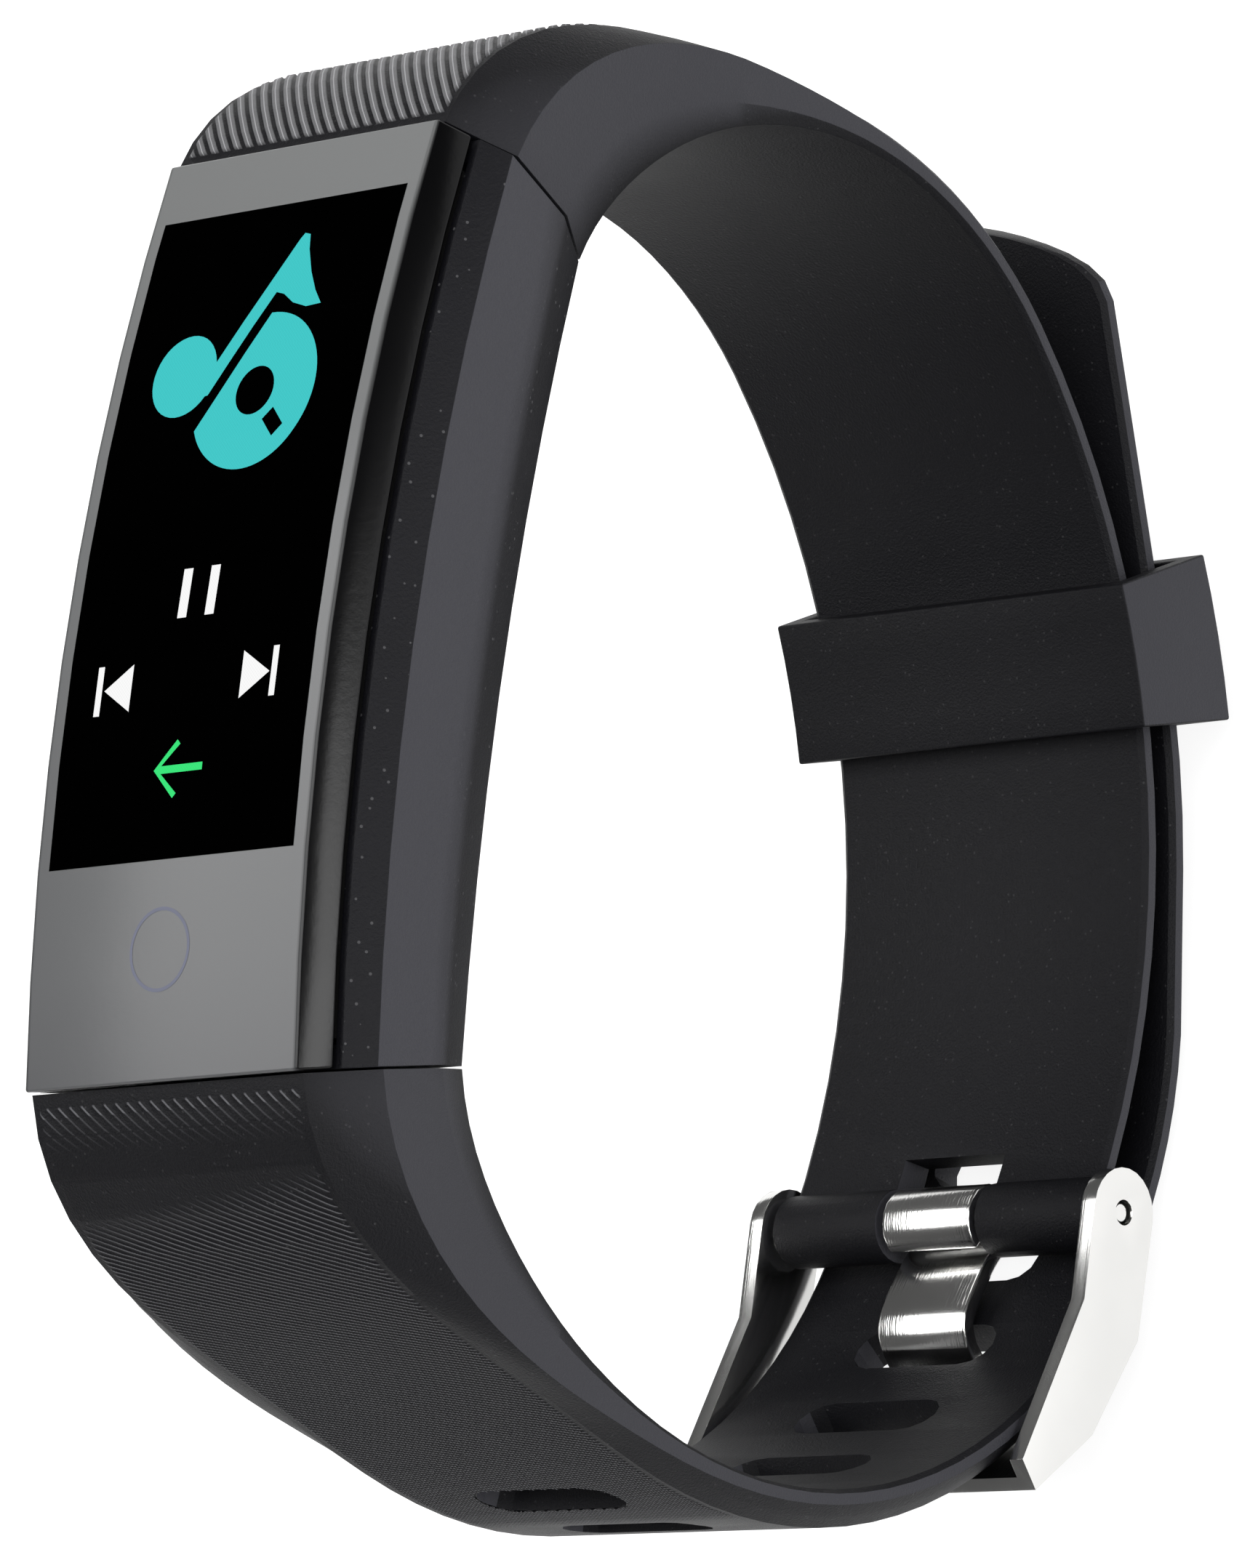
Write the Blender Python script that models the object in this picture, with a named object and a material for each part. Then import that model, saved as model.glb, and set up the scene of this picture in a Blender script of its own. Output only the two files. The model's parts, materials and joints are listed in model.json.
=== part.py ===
"""Fitness tracker band, buckled into its wearing loop.

Units are metres. +Z is the outward normal of the screen, +X runs along the
module towards the buckle strap, and +Y is the axis of the wrist. The origin
is the centre of the flat sensor window that rests on the wrist.
"""

import math

import bmesh
import bpy
from mathutils import Matrix, Vector

MM = 0.001

# ---------------------------------------------------------------- module case
LENS_LENGTH = 43.0 * MM        # front length between the two strap seams
CASE_DEPTH = 10.4 * MM         # from the lens's end edge to the back's end edge
SEAM_TILT = math.radians(16.2) # both end faces lean in towards the wrist
LENS_BOW = 1.9 * MM            # rise of the front at mid length
BACK_BOW = 1.0 * MM            # hollow of the back at mid length
WINDOW_PROUD = 0.8 * MM        # how far the sensor window stands off the back
LENS_EDGE_DEPTH = 1.45 * MM    # depth of the glossy bevel round the front
PARTING_GAP = 0.3 * MM         # groove between lens and case

# Section edges of module and thick strap ends: (half width, depth under the front)
FRONT_EDGE = (8.35 * MM, 0.0)
BEVEL_EDGE = (9.15 * MM, LENS_EDGE_DEPTH)
CHAMFER_EDGE = (10.15 * MM, 3.05 * MM)
FACET_EDGE = (9.45 * MM, 7.4 * MM)
BACK_EDGE = (7.7 * MM, CASE_DEPTH)

CAVITY_HALF_WIDTH = 8.0 * MM
CAVITY_HALF_LENGTH = 17.6 * MM
DISPLAY_BAY_HALF_LENGTH = 19.4 * MM
DISPLAY_BAY_FLOOR = 3.4 * MM
CAVITY_FLOOR = 7.6 * MM
GASKET_WIDTH = 0.6 * MM
GASKET_HEIGHT = 0.6 * MM
COVER_HALF_WIDTH = 6.4 * MM
COVER_REACH = 0.84             # share of the case's half length
COVER_THICKNESS = 0.8 * MM
COVER_LEDGE = 0.8 * MM

# ---------------------------------------------------------------- electronics
SCREEN_OFFSET = 3.3 * MM       # screen centre, towards the buckle strap
SCREEN_LENGTH = 31.0 * MM
SCREEN_WIDTH = 15.2 * MM
DISPLAY_DEPTH = 1.9 * MM
DISPLAY_THICKNESS = 1.2 * MM
BOND_MARGIN = 0.3 * MM
FLEX_WIDTH = 4.0 * MM
FLEX_THICKNESS = 0.2 * MM
TOUCH_KEY_X = -15.6 * MM
TOUCH_PAD_RADIUS = 3.2 * MM
BATTERY_SIZE = (22.0 * MM, 13.0 * MM, 2.5 * MM)
BATTERY_X = 2.6 * MM
BATTERY_DEPTH = 3.9 * MM
FOAM_THICKNESS = 0.2 * MM
BOARD_SIZE = (33.6 * MM, 13.4 * MM, 0.6 * MM)
BOARD_DEPTH = 6.7 * MM
CHIP_HEIGHT = 0.7 * MM
WINDOW_SIZE = (10.4 * MM, 7.6 * MM)
WINDOW_FLANGE_TOP = 8.5 * MM   # depth of the window's inner face
LED_SIZE = (1.6 * MM, 1.6 * MM, 0.5 * MM)
LED_SPACING = 3.3 * MM
BAFFLE_WALL = 0.5 * MM
MOTOR_RADIUS = 3.5 * MM
MOTOR_HEIGHT = 2.3 * MM
MOTOR_PLACE = (-13.4 * MM, 3.7 * MM)
MOTOR_WALL = 0.25 * MM
MOTOR_SHAFT_RADIUS = 0.4 * MM
MOTOR_WEIGHT_HEIGHT = 1.2 * MM

# ------------------------------------------------- strap sockets and tongues
SEAM_GAP = 0.12 * MM
TONGUE_DEPTH = 6.3 * MM        # depth of both module tongues at the seam
TONGUE_REACH = 7.0 * MM
TONGUE_ROOT = 2.6 * MM         # how far the charging tongue runs into the case
TONGUE_WIDTH = 12.0 * MM
TONGUE_THICKNESS = 2.2 * MM
CONTACT_SIZE = (5.2 * MM, 1.0 * MM, 0.2 * MM)
CONTACT_PITCH = 2.4 * MM
CONTACT_GROOVE = 0.3 * MM

# ------------------------------------------------------------------- straps
STRAP_THICKNESS = 1.7 * MM
TAPER_LENGTH = 9.2 * MM        # where about a third of the taper is left
TAPER_LAGS = (1.0, 0.75, 0.62, 0.8, 1.0)  # under 1, a section line thins later
# Section edges of the thin strap: (half width, height over the inner face)
THIN_INNER = (9.2 * MM, 0.0)
THIN_LOW = (9.5 * MM, 0.2 * MM)
THIN_HIGH = (9.5 * MM, 0.7 * MM)
THIN_BEVEL = (9.0 * MM, 1.2 * MM)
THIN_OUTER = (8.3 * MM, STRAP_THICKNESS)

BUCKLE_CORNER_RADIUS = 13.95 * MM
BUCKLE_CORNER_END = math.radians(66.2)
BUCKLE_SIDE_RADIUS = 19.3 * MM
BUCKLE_SIDE_END = math.radians(130.9)
OVERLAP_RADIUS = 38.15 * MM    # inner face where both straps lie together
HOLE_CORNER_RADIUS = 17.6 * MM
HOLE_SIDE_RADIUS = 24.3 * MM
LAYER_GAP = 0.3 * MM           # between the two straps under the keeper
TAIL_LEAVES_AT = math.radians(170.0)
TAIL_STRAIGHT_AT = math.radians(155.5)
TAIL_STRAIGHT_LENGTH = 21.3 * MM
TIP_LENGTH = 4.6 * MM          # the tip narrows over this length
TIP_BLUNTNESS = 0.75

SLOT_PITCH = 5.4 * MM
SLOT_LENGTH = 8.4 * MM
SLOT_WIDTH = 2.7 * MM
SLOTS_TOWARDS_MODULE = 5
SLOTS_TOWARDS_TIP = 4

# ------------------------------------------------------------------- buckle
PIN_X = -14.7 * MM
TUBE_RADIUS = 1.75 * MM
TUBE_HALF_LENGTH = 9.55 * MM
NOTCH_WIDTH = 6.2 * MM
NOTCH_DEPTH = 3.2 * MM         # from the spring bar's axis into the strap
BAR_RADIUS = 0.75 * MM
BAR_BORE_RADIUS = 0.5 * MM
BAR_FIT = 0.1 * MM
BAR_HALF_LENGTH = 9.4 * MM
BAR_TIP_RADIUS = 0.4 * MM
BAR_TIP_INNER_END = 6.0 * MM
BAR_TIP_OUTER_END = 10.55 * MM
SPRING_WIRE_RADIUS = 0.08 * MM
SPRING_RADIUS = 0.33 * MM
SPRING_TURNS = 9
EAR_INNER_FACE = 9.95 * MM
EAR_THICKNESS = 0.8 * MM
EAR_RADIUS = 2.1 * MM
EAR_HOLE_RADIUS = 0.6 * MM
EAR_STRAIGHT = 5.6 * MM
EAR_BEND = 4.6 * MM
EAR_END_LIP = 0.95 * MM
CROSSBAR_GAP = 0.4 * MM
CROSSBAR_THICKNESS = 0.7 * MM
CROSSBAR_WIDTH = 4.8 * MM
CROSSBAR_AT = math.radians(134.5)
TONGUE_TIP_WIDTH = 5.4 * MM
PRONG_THICKNESS = 0.8 * MM
PRONG_LOOP_RADIUS = 1.35 * MM
PRONG_SLOT_AT = math.radians(147.3)

# ------------------------------------------------------------------- keeper
KEEPER_LENGTH = 7.0 * MM
KEEPER_WALL = 1.0 * MM
KEEPER_CLEARANCE = 0.35 * MM
KEEPER_AT = math.radians(155.1)

ARC_STEP = math.radians(4.0)
ROUND_SIDES = 24

WINDOW_FACE_DEPTH = CASE_DEPTH - BACK_BOW + WINDOW_PROUD


def z_at(depth):
    """Height of a level that lies this deep under the lens's end edge."""
    return WINDOW_FACE_DEPTH - depth


# ------------------------------------------------------------ mesh and objects

def clear_scene():
    for item in list(bpy.data.objects):
        bpy.data.objects.remove(item, do_unlink=True)


def paint(item, colour, roughness, metallic=0.0, alpha=1.0):
    """Give an object a material of its own."""
    material = bpy.data.materials.new(item.name)
    material.use_nodes = True
    shader = material.node_tree.nodes["Principled BSDF"]
    shader.inputs["Base Color"].default_value = (*colour, 1.0)
    shader.inputs["Roughness"].default_value = roughness
    shader.inputs["Metallic"].default_value = metallic
    shader.inputs["Alpha"].default_value = alpha
    item.data.materials.clear()
    item.data.materials.append(material)
    return item


def mesh_object(name, points, faces):
    mesh = bpy.data.meshes.new(name)
    mesh.from_pydata([tuple(point) for point in points], [], faces)
    shape = bmesh.new()
    shape.from_mesh(mesh)
    bmesh.ops.recalc_face_normals(shape, faces=shape.faces)
    shape.to_mesh(mesh)
    shape.free()
    item = bpy.data.objects.new(name, mesh)
    bpy.context.scene.collection.objects.link(item)
    return item


def loft(name, rings):
    """A closed body through rings that all have the same number of points."""
    count = len(rings[0])
    points = [point for ring in rings for point in ring]
    faces = [list(range(count)), [len(points) - 1 - i for i in range(count)]]
    for row in range(len(rings) - 1):
        for i in range(count):
            here, after = row * count + i, row * count + (i + 1) % count
            faces.append([here, after, after + count, here + count])
    return mesh_object(name, points, faces)


def block(name, low, high):
    """A box between two corners."""
    (x0, y0, z0), (x1, y1, z1) = low, high
    ring = [(x0, y0), (x1, y0), (x1, y1), (x0, y1)]
    return loft(name, [[(x, y, z) for x, y in ring] for z in (z0, z1)])


def plate(name, centre, size, depth):
    """A flat box in the case: centre x and y, its size, and its top's depth."""
    (x, y), (length, width, height) = centre, size
    top = z_at(depth)
    return block(
        name,
        (x - length / 2, y - width / 2, top - height),
        (x + length / 2, y + width / 2, top),
    )


def prism(name, outline, y0, y1):
    """An outline in the X-Z plane, extruded along Y."""
    return loft(name, [[(x, y, z) for x, z in outline] for y in (y0, y1)])


def rod(name, axis_point, radius, y0, y1, sides=ROUND_SIDES):
    """A cylinder along Y."""
    x, z = axis_point
    outline = [
        (x + radius * math.cos(angle), z + radius * math.sin(angle))
        for angle in (math.tau * i / sides for i in range(sides))
    ]
    return prism(name, outline, y0, y1)


def disc(name, centre, radius, top_depth, height, sides=ROUND_SIDES, turn=math.tau):
    """A cylinder, or a sector of one, along Z."""
    x, y = centre
    steps = sides if turn == math.tau else sides + 1
    ring = [
        (x + radius * math.cos(turn * i / sides), y + radius * math.sin(turn * i / sides))
        for i in range(steps)
    ]
    top = z_at(top_depth)
    return loft(name, [[(px, py, z) for px, py in ring] for z in (top - height, top)])


def combine(item, tool, operation):
    """Cut or join another object, which is then only a construction guide."""
    modifier = item.modifiers.new(tool.name, "BOOLEAN")
    modifier.operation = operation
    modifier.object = tool
    modifier.solver = "EXACT"
    tool.hide_render = True
    tool.display_type = "WIRE"
    return item


def cut(item, tool):
    return combine(item, tool, "DIFFERENCE")


def join(item, tool):
    return combine(item, tool, "UNION")


def set_origin(item, origin):
    """Move an object's origin, leaving its surface where it is."""
    item.data.transform(Matrix.Translation(-Vector(origin)))
    item.location = origin
    return item


# ---------------------------------------------------------------- strap paths

class Arc:
    """Part of a circle in the X-Z plane, by its heading.

    A heading of 0 runs along +X, and 90 degrees points to -Z. The outward
    normal at a heading is (sin, cos).
    """

    def __init__(self, centre, radius, start, end):
        self.centre = centre
        self.radius = radius
        self.start = start
        self.end = end

    def length(self):
        return abs(self.end - self.start) * self.radius

    def at(self, heading):
        """The point, and the outward normal, at a heading."""
        normal = Vector((math.sin(heading), math.cos(heading)))
        return self.centre + self.radius * normal, normal

    def stations(self):
        steps = max(2, math.ceil(abs(self.end - self.start) / ARC_STEP))
        for i in range(steps):
            yield self.at(self.start + (self.end - self.start) * i / steps)


def arc_from(point, heading, end, radius):
    normal = Vector((math.sin(heading), math.cos(heading)))
    return Arc(point - radius * normal, radius, heading, end)


def seam_start():
    """Inner face of a strap where it meets the module, past the seam's gap."""
    x = LENS_LENGTH / 2 - CASE_DEPTH * math.tan(SEAM_TILT)
    forward = Vector((math.cos(SEAM_TILT), -math.sin(SEAM_TILT)))
    return Vector((x, z_at(CASE_DEPTH))) + SEAM_GAP * forward


def buckle_arcs():
    """Inner face of the buckle strap, as tangent arcs from the module."""
    corner = arc_from(seam_start(), SEAM_TILT, BUCKLE_CORNER_END, BUCKLE_CORNER_RADIUS)
    side = arc_from(
        corner.at(BUCKLE_CORNER_END)[0], BUCKLE_CORNER_END, BUCKLE_SIDE_END, BUCKLE_SIDE_RADIUS
    )
    overlap = arc_from(side.at(BUCKLE_SIDE_END)[0], BUCKLE_SIDE_END, 0.0, OVERLAP_RADIUS)
    mid_radius = OVERLAP_RADIUS + STRAP_THICKNESS / 2
    overlap.end = math.pi - math.asin((PIN_X - overlap.centre.x) / mid_radius)
    return corner, side, overlap


def pin_axis():
    """X and Z of the spring bar's axis, in the middle of the strap's end."""
    overlap = buckle_arcs()[2]
    normal = overlap.at(overlap.end)[1]
    return overlap.centre + (OVERLAP_RADIUS + STRAP_THICKNESS / 2) * normal


def mirrored(point):
    return Vector((-point.x, point.y))


def hole_arcs():
    """Inner face of the hole strap, mirrored in X, as tangent arcs.

    It leaves the module, rounds the far side of the loop, and runs straight
    to the stretch where it lies on the buckle strap, under the keeper.
    """
    centre = mirrored(buckle_arcs()[2].centre)
    radius = OVERLAP_RADIUS + STRAP_THICKNESS + LAYER_GAP
    leave, straight = math.tau - TAIL_LEAVES_AT, math.tau - TAIL_STRAIGHT_AT
    overlap = Arc(centre, radius, leave, straight)
    corner = arc_from(seam_start(), SEAM_TILT, 0.0, HOLE_CORNER_RADIUS)
    # The side arc touches the straight stretch and holds the corner arc inside.
    normal = overlap.at(leave)[1]
    tangent = Vector((normal.y, -normal.x))
    reach = normal.dot(overlap.at(leave)[0]) - HOLE_SIDE_RADIUS - normal.dot(corner.centre)
    apart = HOLE_SIDE_RADIUS - HOLE_CORNER_RADIUS
    offset = math.sqrt(apart**2 - reach**2)
    side_centre = corner.centre + reach * normal + offset * tangent
    towards = (corner.centre - side_centre) / apart
    corner.end = math.atan2(towards.x, towards.y)
    side = Arc(side_centre, HOLE_SIDE_RADIUS, corner.end, leave)
    return corner, side, overlap


def taper(distance):
    """1 at the module, nearly 0 where the strap is thin."""
    return math.exp(-((distance / TAPER_LENGTH) ** 2))


def strap_section(thick):
    """One side of the strap's section: (half width, height over the inner face)."""
    module_side = (BACK_EDGE, FACET_EDGE, CHAMFER_EDGE, BEVEL_EDGE, FRONT_EDGE)
    thin_side = (THIN_INNER, THIN_LOW, THIN_HIGH, THIN_BEVEL, THIN_OUTER)
    section = []
    for (wide, depth), (thin_wide, height), lag in zip(module_side, thin_side, TAPER_LAGS):
        share = thick**lag
        section.append(
            (
                share * wide + (1 - share) * thin_wide,
                share * (CASE_DEPTH - depth) + (1 - share) * height,
            )
        )
    return section


def strap_ring(point, normal, thick, narrow=1.0, flip=1.0):
    side = strap_section(thick)
    outline = [(narrow * wide, height) for wide, height in side]
    outline += [(-narrow * wide, height) for wide, height in reversed(side)]
    ring = []
    for y, height in outline:
        place = point + height * normal
        ring.append((flip * place.x, y, place.y))
    return ring


def tip_width(distance):
    """Share of its width that the strap still has, this far from its tip."""
    return math.sin(math.pi / 2 * min(1.0, distance / TIP_LENGTH) ** TIP_BLUNTNESS)


def strap_stations(arcs):
    """Points, normals and distances from the module along tangent arcs."""
    distance = 0.0
    before = None
    for arc in arcs:
        for point, normal in arc.stations():
            if before is not None:
                distance += (point - before).length
            before = point
            yield point, normal, distance


# --------------------------------------------------------------------- straps

def make_buckle_strap():
    arcs = buckle_arcs()
    rings = [strap_ring(p, n, taper(d)) for p, n, d in strap_stations(arcs)]
    point, normal = arcs[2].at(arcs[2].end)
    rings.append(strap_ring(point, normal, 0.0))
    strap = loft("buckle_strap", rings)
    pin = pin_axis()
    join(strap, rod("strap_end_tube", pin, TUBE_RADIUS, -TUBE_HALF_LENGTH, TUBE_HALF_LENGTH))
    margin = 1.0 * MM
    bore_end = TUBE_HALF_LENGTH + margin
    cut(strap, rod("strap_end_bore", pin, BAR_RADIUS + BAR_FIT, -bore_end, bore_end))
    past_tube = 2 * TUBE_RADIUS
    notch = block(
        "prong_notch",
        (pin.x - past_tube, -NOTCH_WIDTH / 2, pin.y - past_tube),
        (pin.x + NOTCH_DEPTH, NOTCH_WIDTH / 2, pin.y + past_tube),
    )
    cut(strap, notch)
    cut(strap, socket_cutter("buckle_strap_socket", 1.0))
    return paint(strap, (0.028, 0.028, 0.032), 0.62)


def slot_cutter(name, point, normal):
    """A slot with round ends, across the strap, through it along the normal."""
    half = SLOT_WIDTH / 2
    straight = (SLOT_LENGTH - SLOT_WIDTH) / 2
    steps = 6
    outline = []
    for side in (1, -1):
        for i in range(steps + 1):
            angle = math.pi * i / steps - (math.pi / 2 if side == 1 else -math.pi / 2)
            outline.append((half * math.sin(angle), side * straight + half * math.cos(angle)))
    tangent = Vector((normal.y, -normal.x))
    rings = []
    for height in (-STRAP_THICKNESS, 2 * STRAP_THICKNESS):
        ring = []
        for along, across in outline:
            place = point + height * normal + along * tangent
            ring.append((-place.x, across, place.y))
        rings.append(ring)
    return loft(name, rings)


def slot_places():
    """Inner-face point and normal of each slot, from the module to the tip."""
    corner, side, overlap = hole_arcs()
    straight_start, run_normal = side.at(side.end)
    run = overlap.at(overlap.start)[0] - straight_start
    for index in range(-SLOTS_TOWARDS_MODULE, SLOTS_TOWARDS_TIP + 1):
        along = index * SLOT_PITCH
        heading = PRONG_SLOT_AT + along / side.radius
        past_side = (heading - side.end) * side.radius
        if past_side <= 0:
            yield side.at(heading)
        elif past_side < run.length:
            yield straight_start + run.normalized() * past_side, run_normal
        else:
            past_run = past_side - run.length
            past_arc = past_run - overlap.length()
            if past_arc <= 0:
                yield overlap.at(overlap.start + past_run / overlap.radius)
            else:
                point, normal = overlap.at(overlap.end)
                yield point + past_arc * Vector((normal.y, -normal.x)), normal


def make_hole_strap():
    corner, side, overlap = hole_arcs()
    rings = [
        strap_ring(p, n, taper(d), flip=-1.0)
        for p, n, d in strap_stations((corner, side, overlap))
    ]
    start, normal = overlap.at(overlap.end)
    forward = Vector((normal.y, -normal.x))
    rings.append(strap_ring(start, normal, 0.0, flip=-1.0))
    for share in (1.0, 0.78, 0.6, 0.45, 0.32, 0.21, 0.12, 0.05, 0.02):
        distance = TIP_LENGTH * share
        point = start + forward * (TAIL_STRAIGHT_LENGTH - distance)
        rings.append(strap_ring(point, normal, 0.0, tip_width(distance), flip=-1.0))
    strap = loft("hole_strap", rings)
    for number, (point, normal) in enumerate(slot_places(), 1):
        cut(strap, slot_cutter(f"slot_{number}", point, normal))
    cut(strap, socket_cutter("hole_strap_socket", -1.0))
    return paint(strap, (0.028, 0.028, 0.032), 0.62)


# --------------------------------------------------------------------- module

def case_point(share, y, depth):
    """A point of the case: share is -1 to 1 along it, depth from its front."""
    half = LENS_LENGTH / 2 - depth * math.tan(SEAM_TILT)
    bow = LENS_BOW + (BACK_BOW - LENS_BOW) * depth / CASE_DEPTH
    return (share * half, y, z_at(depth) + bow * (1 - share**2))


def case_loft(name, side, reach, steps=9):
    """A body along the case, from one side of its section, front to back."""
    outline = list(side) + [(-y, depth) for y, depth in reversed(side)]
    shares = [reach * (2 * i / steps - 1) for i in range(steps + 1)]
    return loft(
        name, [[case_point(share, y, depth) for y, depth in outline] for share in shares]
    )


def make_front_lens():
    lens = case_loft("front_lens", (FRONT_EDGE, BEVEL_EDGE), 1.0)
    return paint(lens, (0.09, 0.095, 0.10), 0.12)


def case_outer_side():
    """One side of the case's section, below the groove under the lens."""
    rim_depth = LENS_EDGE_DEPTH + PARTING_GAP
    share = PARTING_GAP / (CHAMFER_EDGE[1] - BEVEL_EDGE[1])
    rim_width = BEVEL_EDGE[0] + share * (CHAMFER_EDGE[0] - BEVEL_EDGE[0])
    return ((rim_width, rim_depth), CHAMFER_EDGE, FACET_EDGE, BACK_EDGE)


def gasket_level():
    """Depth of the gasket's top, and of the shelf that it lies on."""
    top = LENS_EDGE_DEPTH + PARTING_GAP
    return top, top + GASKET_HEIGHT + PARTING_GAP


def tongue_block(name, end, width, thickness, inner, outer):
    """A tongue square to one end face: end is 1 or -1, inner and outer along it."""
    x = LENS_LENGTH / 2 - TONGUE_DEPTH * math.tan(SEAM_TILT)
    seam = Vector((x, z_at(TONGUE_DEPTH)))
    along = Vector((math.cos(SEAM_TILT), -math.sin(SEAM_TILT)))
    up = Vector((math.sin(SEAM_TILT), math.cos(SEAM_TILT)))
    rings = []
    for reach in (-inner, outer):
        ring = []
        for across, height in ((-1, -1), (1, -1), (1, 1), (-1, 1)):
            place = seam + reach * along + height * thickness / 2 * up
            ring.append((end * place.x, across * width / 2, place.y))
        rings.append(ring)
    return loft(name, rings)


def socket_cutter(name, end):
    clearance = 0.3 * MM
    return tongue_block(
        name,
        end,
        TONGUE_WIDTH + 2 * clearance,
        TONGUE_THICKNESS + 2 * clearance,
        0.0,
        TONGUE_REACH + clearance,
    )


def make_mid_case():
    case = case_loft("mid_case", case_outer_side(), 1.0)
    above = -3.0 * MM
    shelf = gasket_level()[1]
    gasket_half = CAVITY_HALF_WIDTH + GASKET_WIDTH + 0.3 * MM
    shelf_side = ((gasket_half, above), (gasket_half, shelf))
    cut(case, case_loft("gasket_recess", shelf_side, gasket_reach(0.3 * MM)))
    for name, half_length, floor in (
        ("display_bay", DISPLAY_BAY_HALF_LENGTH, DISPLAY_BAY_FLOOR),
        ("case_cavity", CAVITY_HALF_LENGTH, CAVITY_FLOOR),
    ):
        low = (-half_length, -CAVITY_HALF_WIDTH, z_at(floor))
        cut(case, block(name, low, (half_length, CAVITY_HALF_WIDTH, z_at(above))))
    cover_half = COVER_HALF_WIDTH + 0.3 * MM
    seat = CASE_DEPTH - COVER_THICKNESS - 0.3 * MM
    recess_side = ((cover_half, seat), (cover_half, CASE_DEPTH + 3.0 * MM))
    cut(case, case_loft("cover_recess", recess_side, COVER_REACH + 0.02))
    opening = COVER_HALF_WIDTH - COVER_LEDGE
    reach = COVER_REACH * (LENS_LENGTH / 2 - CASE_DEPTH * math.tan(SEAM_TILT)) - COVER_LEDGE
    low = (-reach, -opening, z_at(CASE_DEPTH + 3.0 * MM))
    cut(case, block("case_back_opening", low, (reach, opening, z_at(DISPLAY_BAY_FLOOR))))
    join(
        case,
        tongue_block("anchor_tongue", 1.0, TONGUE_WIDTH, TONGUE_THICKNESS, 1.0 * MM, TONGUE_REACH),
    )
    clearance = 0.3 * MM
    slot = tongue_block(
        "charging_tongue_slot",
        -1.0,
        TONGUE_WIDTH + 2 * clearance,
        TONGUE_THICKNESS + 2 * clearance,
        TONGUE_ROOT + 2 * clearance,
        1.0 * MM,
    )
    cut(case, slot)
    return paint(case, (0.07, 0.07, 0.078), 0.55)


def gasket_reach(margin):
    """Share of the case's half length that the gasket takes, with a margin."""
    return (DISPLAY_BAY_HALF_LENGTH + GASKET_WIDTH + 0.15 * MM + margin) / (LENS_LENGTH / 2)


def make_lens_gasket():
    top = gasket_level()[0]
    bottom = top + GASKET_HEIGHT
    outer = CAVITY_HALF_WIDTH + GASKET_WIDTH
    gasket = case_loft("lens_gasket", ((outer, top), (outer, bottom)), gasket_reach(0.0))
    inner = CAVITY_HALF_WIDTH + 0.05 * MM
    inner_side = ((inner, top - 1.0 * MM), (inner, bottom + 1.0 * MM))
    cut(gasket, case_loft("gasket_inside", inner_side, gasket_reach(-GASKET_WIDTH)))
    return paint(gasket, (0.02, 0.02, 0.02), 0.8)


def make_optical_bond():
    """Clear adhesive between the flat display and the bowed lens."""
    half_width = SCREEN_WIDTH / 2 - BOND_MARGIN
    x0 = SCREEN_OFFSET - SCREEN_LENGTH / 2 + BOND_MARGIN
    x1 = SCREEN_OFFSET + SCREEN_LENGTH / 2 - BOND_MARGIN
    steps = 8
    rings = []
    for i in range(steps + 1):
        x = x0 + (x1 - x0) * i / steps
        half = LENS_LENGTH / 2 - LENS_EDGE_DEPTH * math.tan(SEAM_TILT)
        top = case_point(x / half, 0.0, LENS_EDGE_DEPTH)[2] - 0.3 * MM
        bottom = z_at(DISPLAY_DEPTH - 0.3 * MM)
        rings.append(
            [(x, -half_width, bottom), (x, half_width, bottom), (x, half_width, top), (x, -half_width, top)]
        )
    return paint(loft("optical_bond", rings), (0.8, 0.82, 0.85), 0.1, alpha=0.4)


def make_display():
    display = plate(
        "display_panel",
        (SCREEN_OFFSET, 0.0),
        (SCREEN_LENGTH, SCREEN_WIDTH, DISPLAY_THICKNESS),
        DISPLAY_DEPTH,
    )
    paint(display, (0.01, 0.01, 0.012), 0.2)
    end = SCREEN_OFFSET - SCREEN_LENGTH / 2 - 0.3 * MM
    top = z_at(DISPLAY_DEPTH + 0.4 * MM)
    foot = z_at(BOARD_DEPTH - 0.3 * MM)
    reach = 0.5 * MM
    outline = [
        (end, top),
        (end - reach, top),
        (end - reach, foot),
        (end - reach + FLEX_THICKNESS, foot),
        (end - reach + FLEX_THICKNESS, top - FLEX_THICKNESS),
        (end, top - FLEX_THICKNESS),
    ]
    y = -3.4 * MM
    flex = prism("display_flex", outline, y - FLEX_WIDTH / 2, y + FLEX_WIDTH / 2)
    paint(flex, (0.45, 0.22, 0.06), 0.45)


def make_touch_pad():
    half = LENS_LENGTH / 2 - LENS_EDGE_DEPTH * math.tan(SEAM_TILT)
    outer_end = abs(TOUCH_KEY_X) + TOUCH_PAD_RADIUS
    under_lens = case_point(outer_end / half, 0.0, LENS_EDGE_DEPTH)[2]
    depth = WINDOW_FACE_DEPTH - under_lens + 0.3 * MM
    pad = disc("touch_pad", (TOUCH_KEY_X, 0.0), TOUCH_PAD_RADIUS, depth, 0.2 * MM)
    return paint(pad, (0.72, 0.42, 0.20), 0.35, metallic=1.0)


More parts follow.
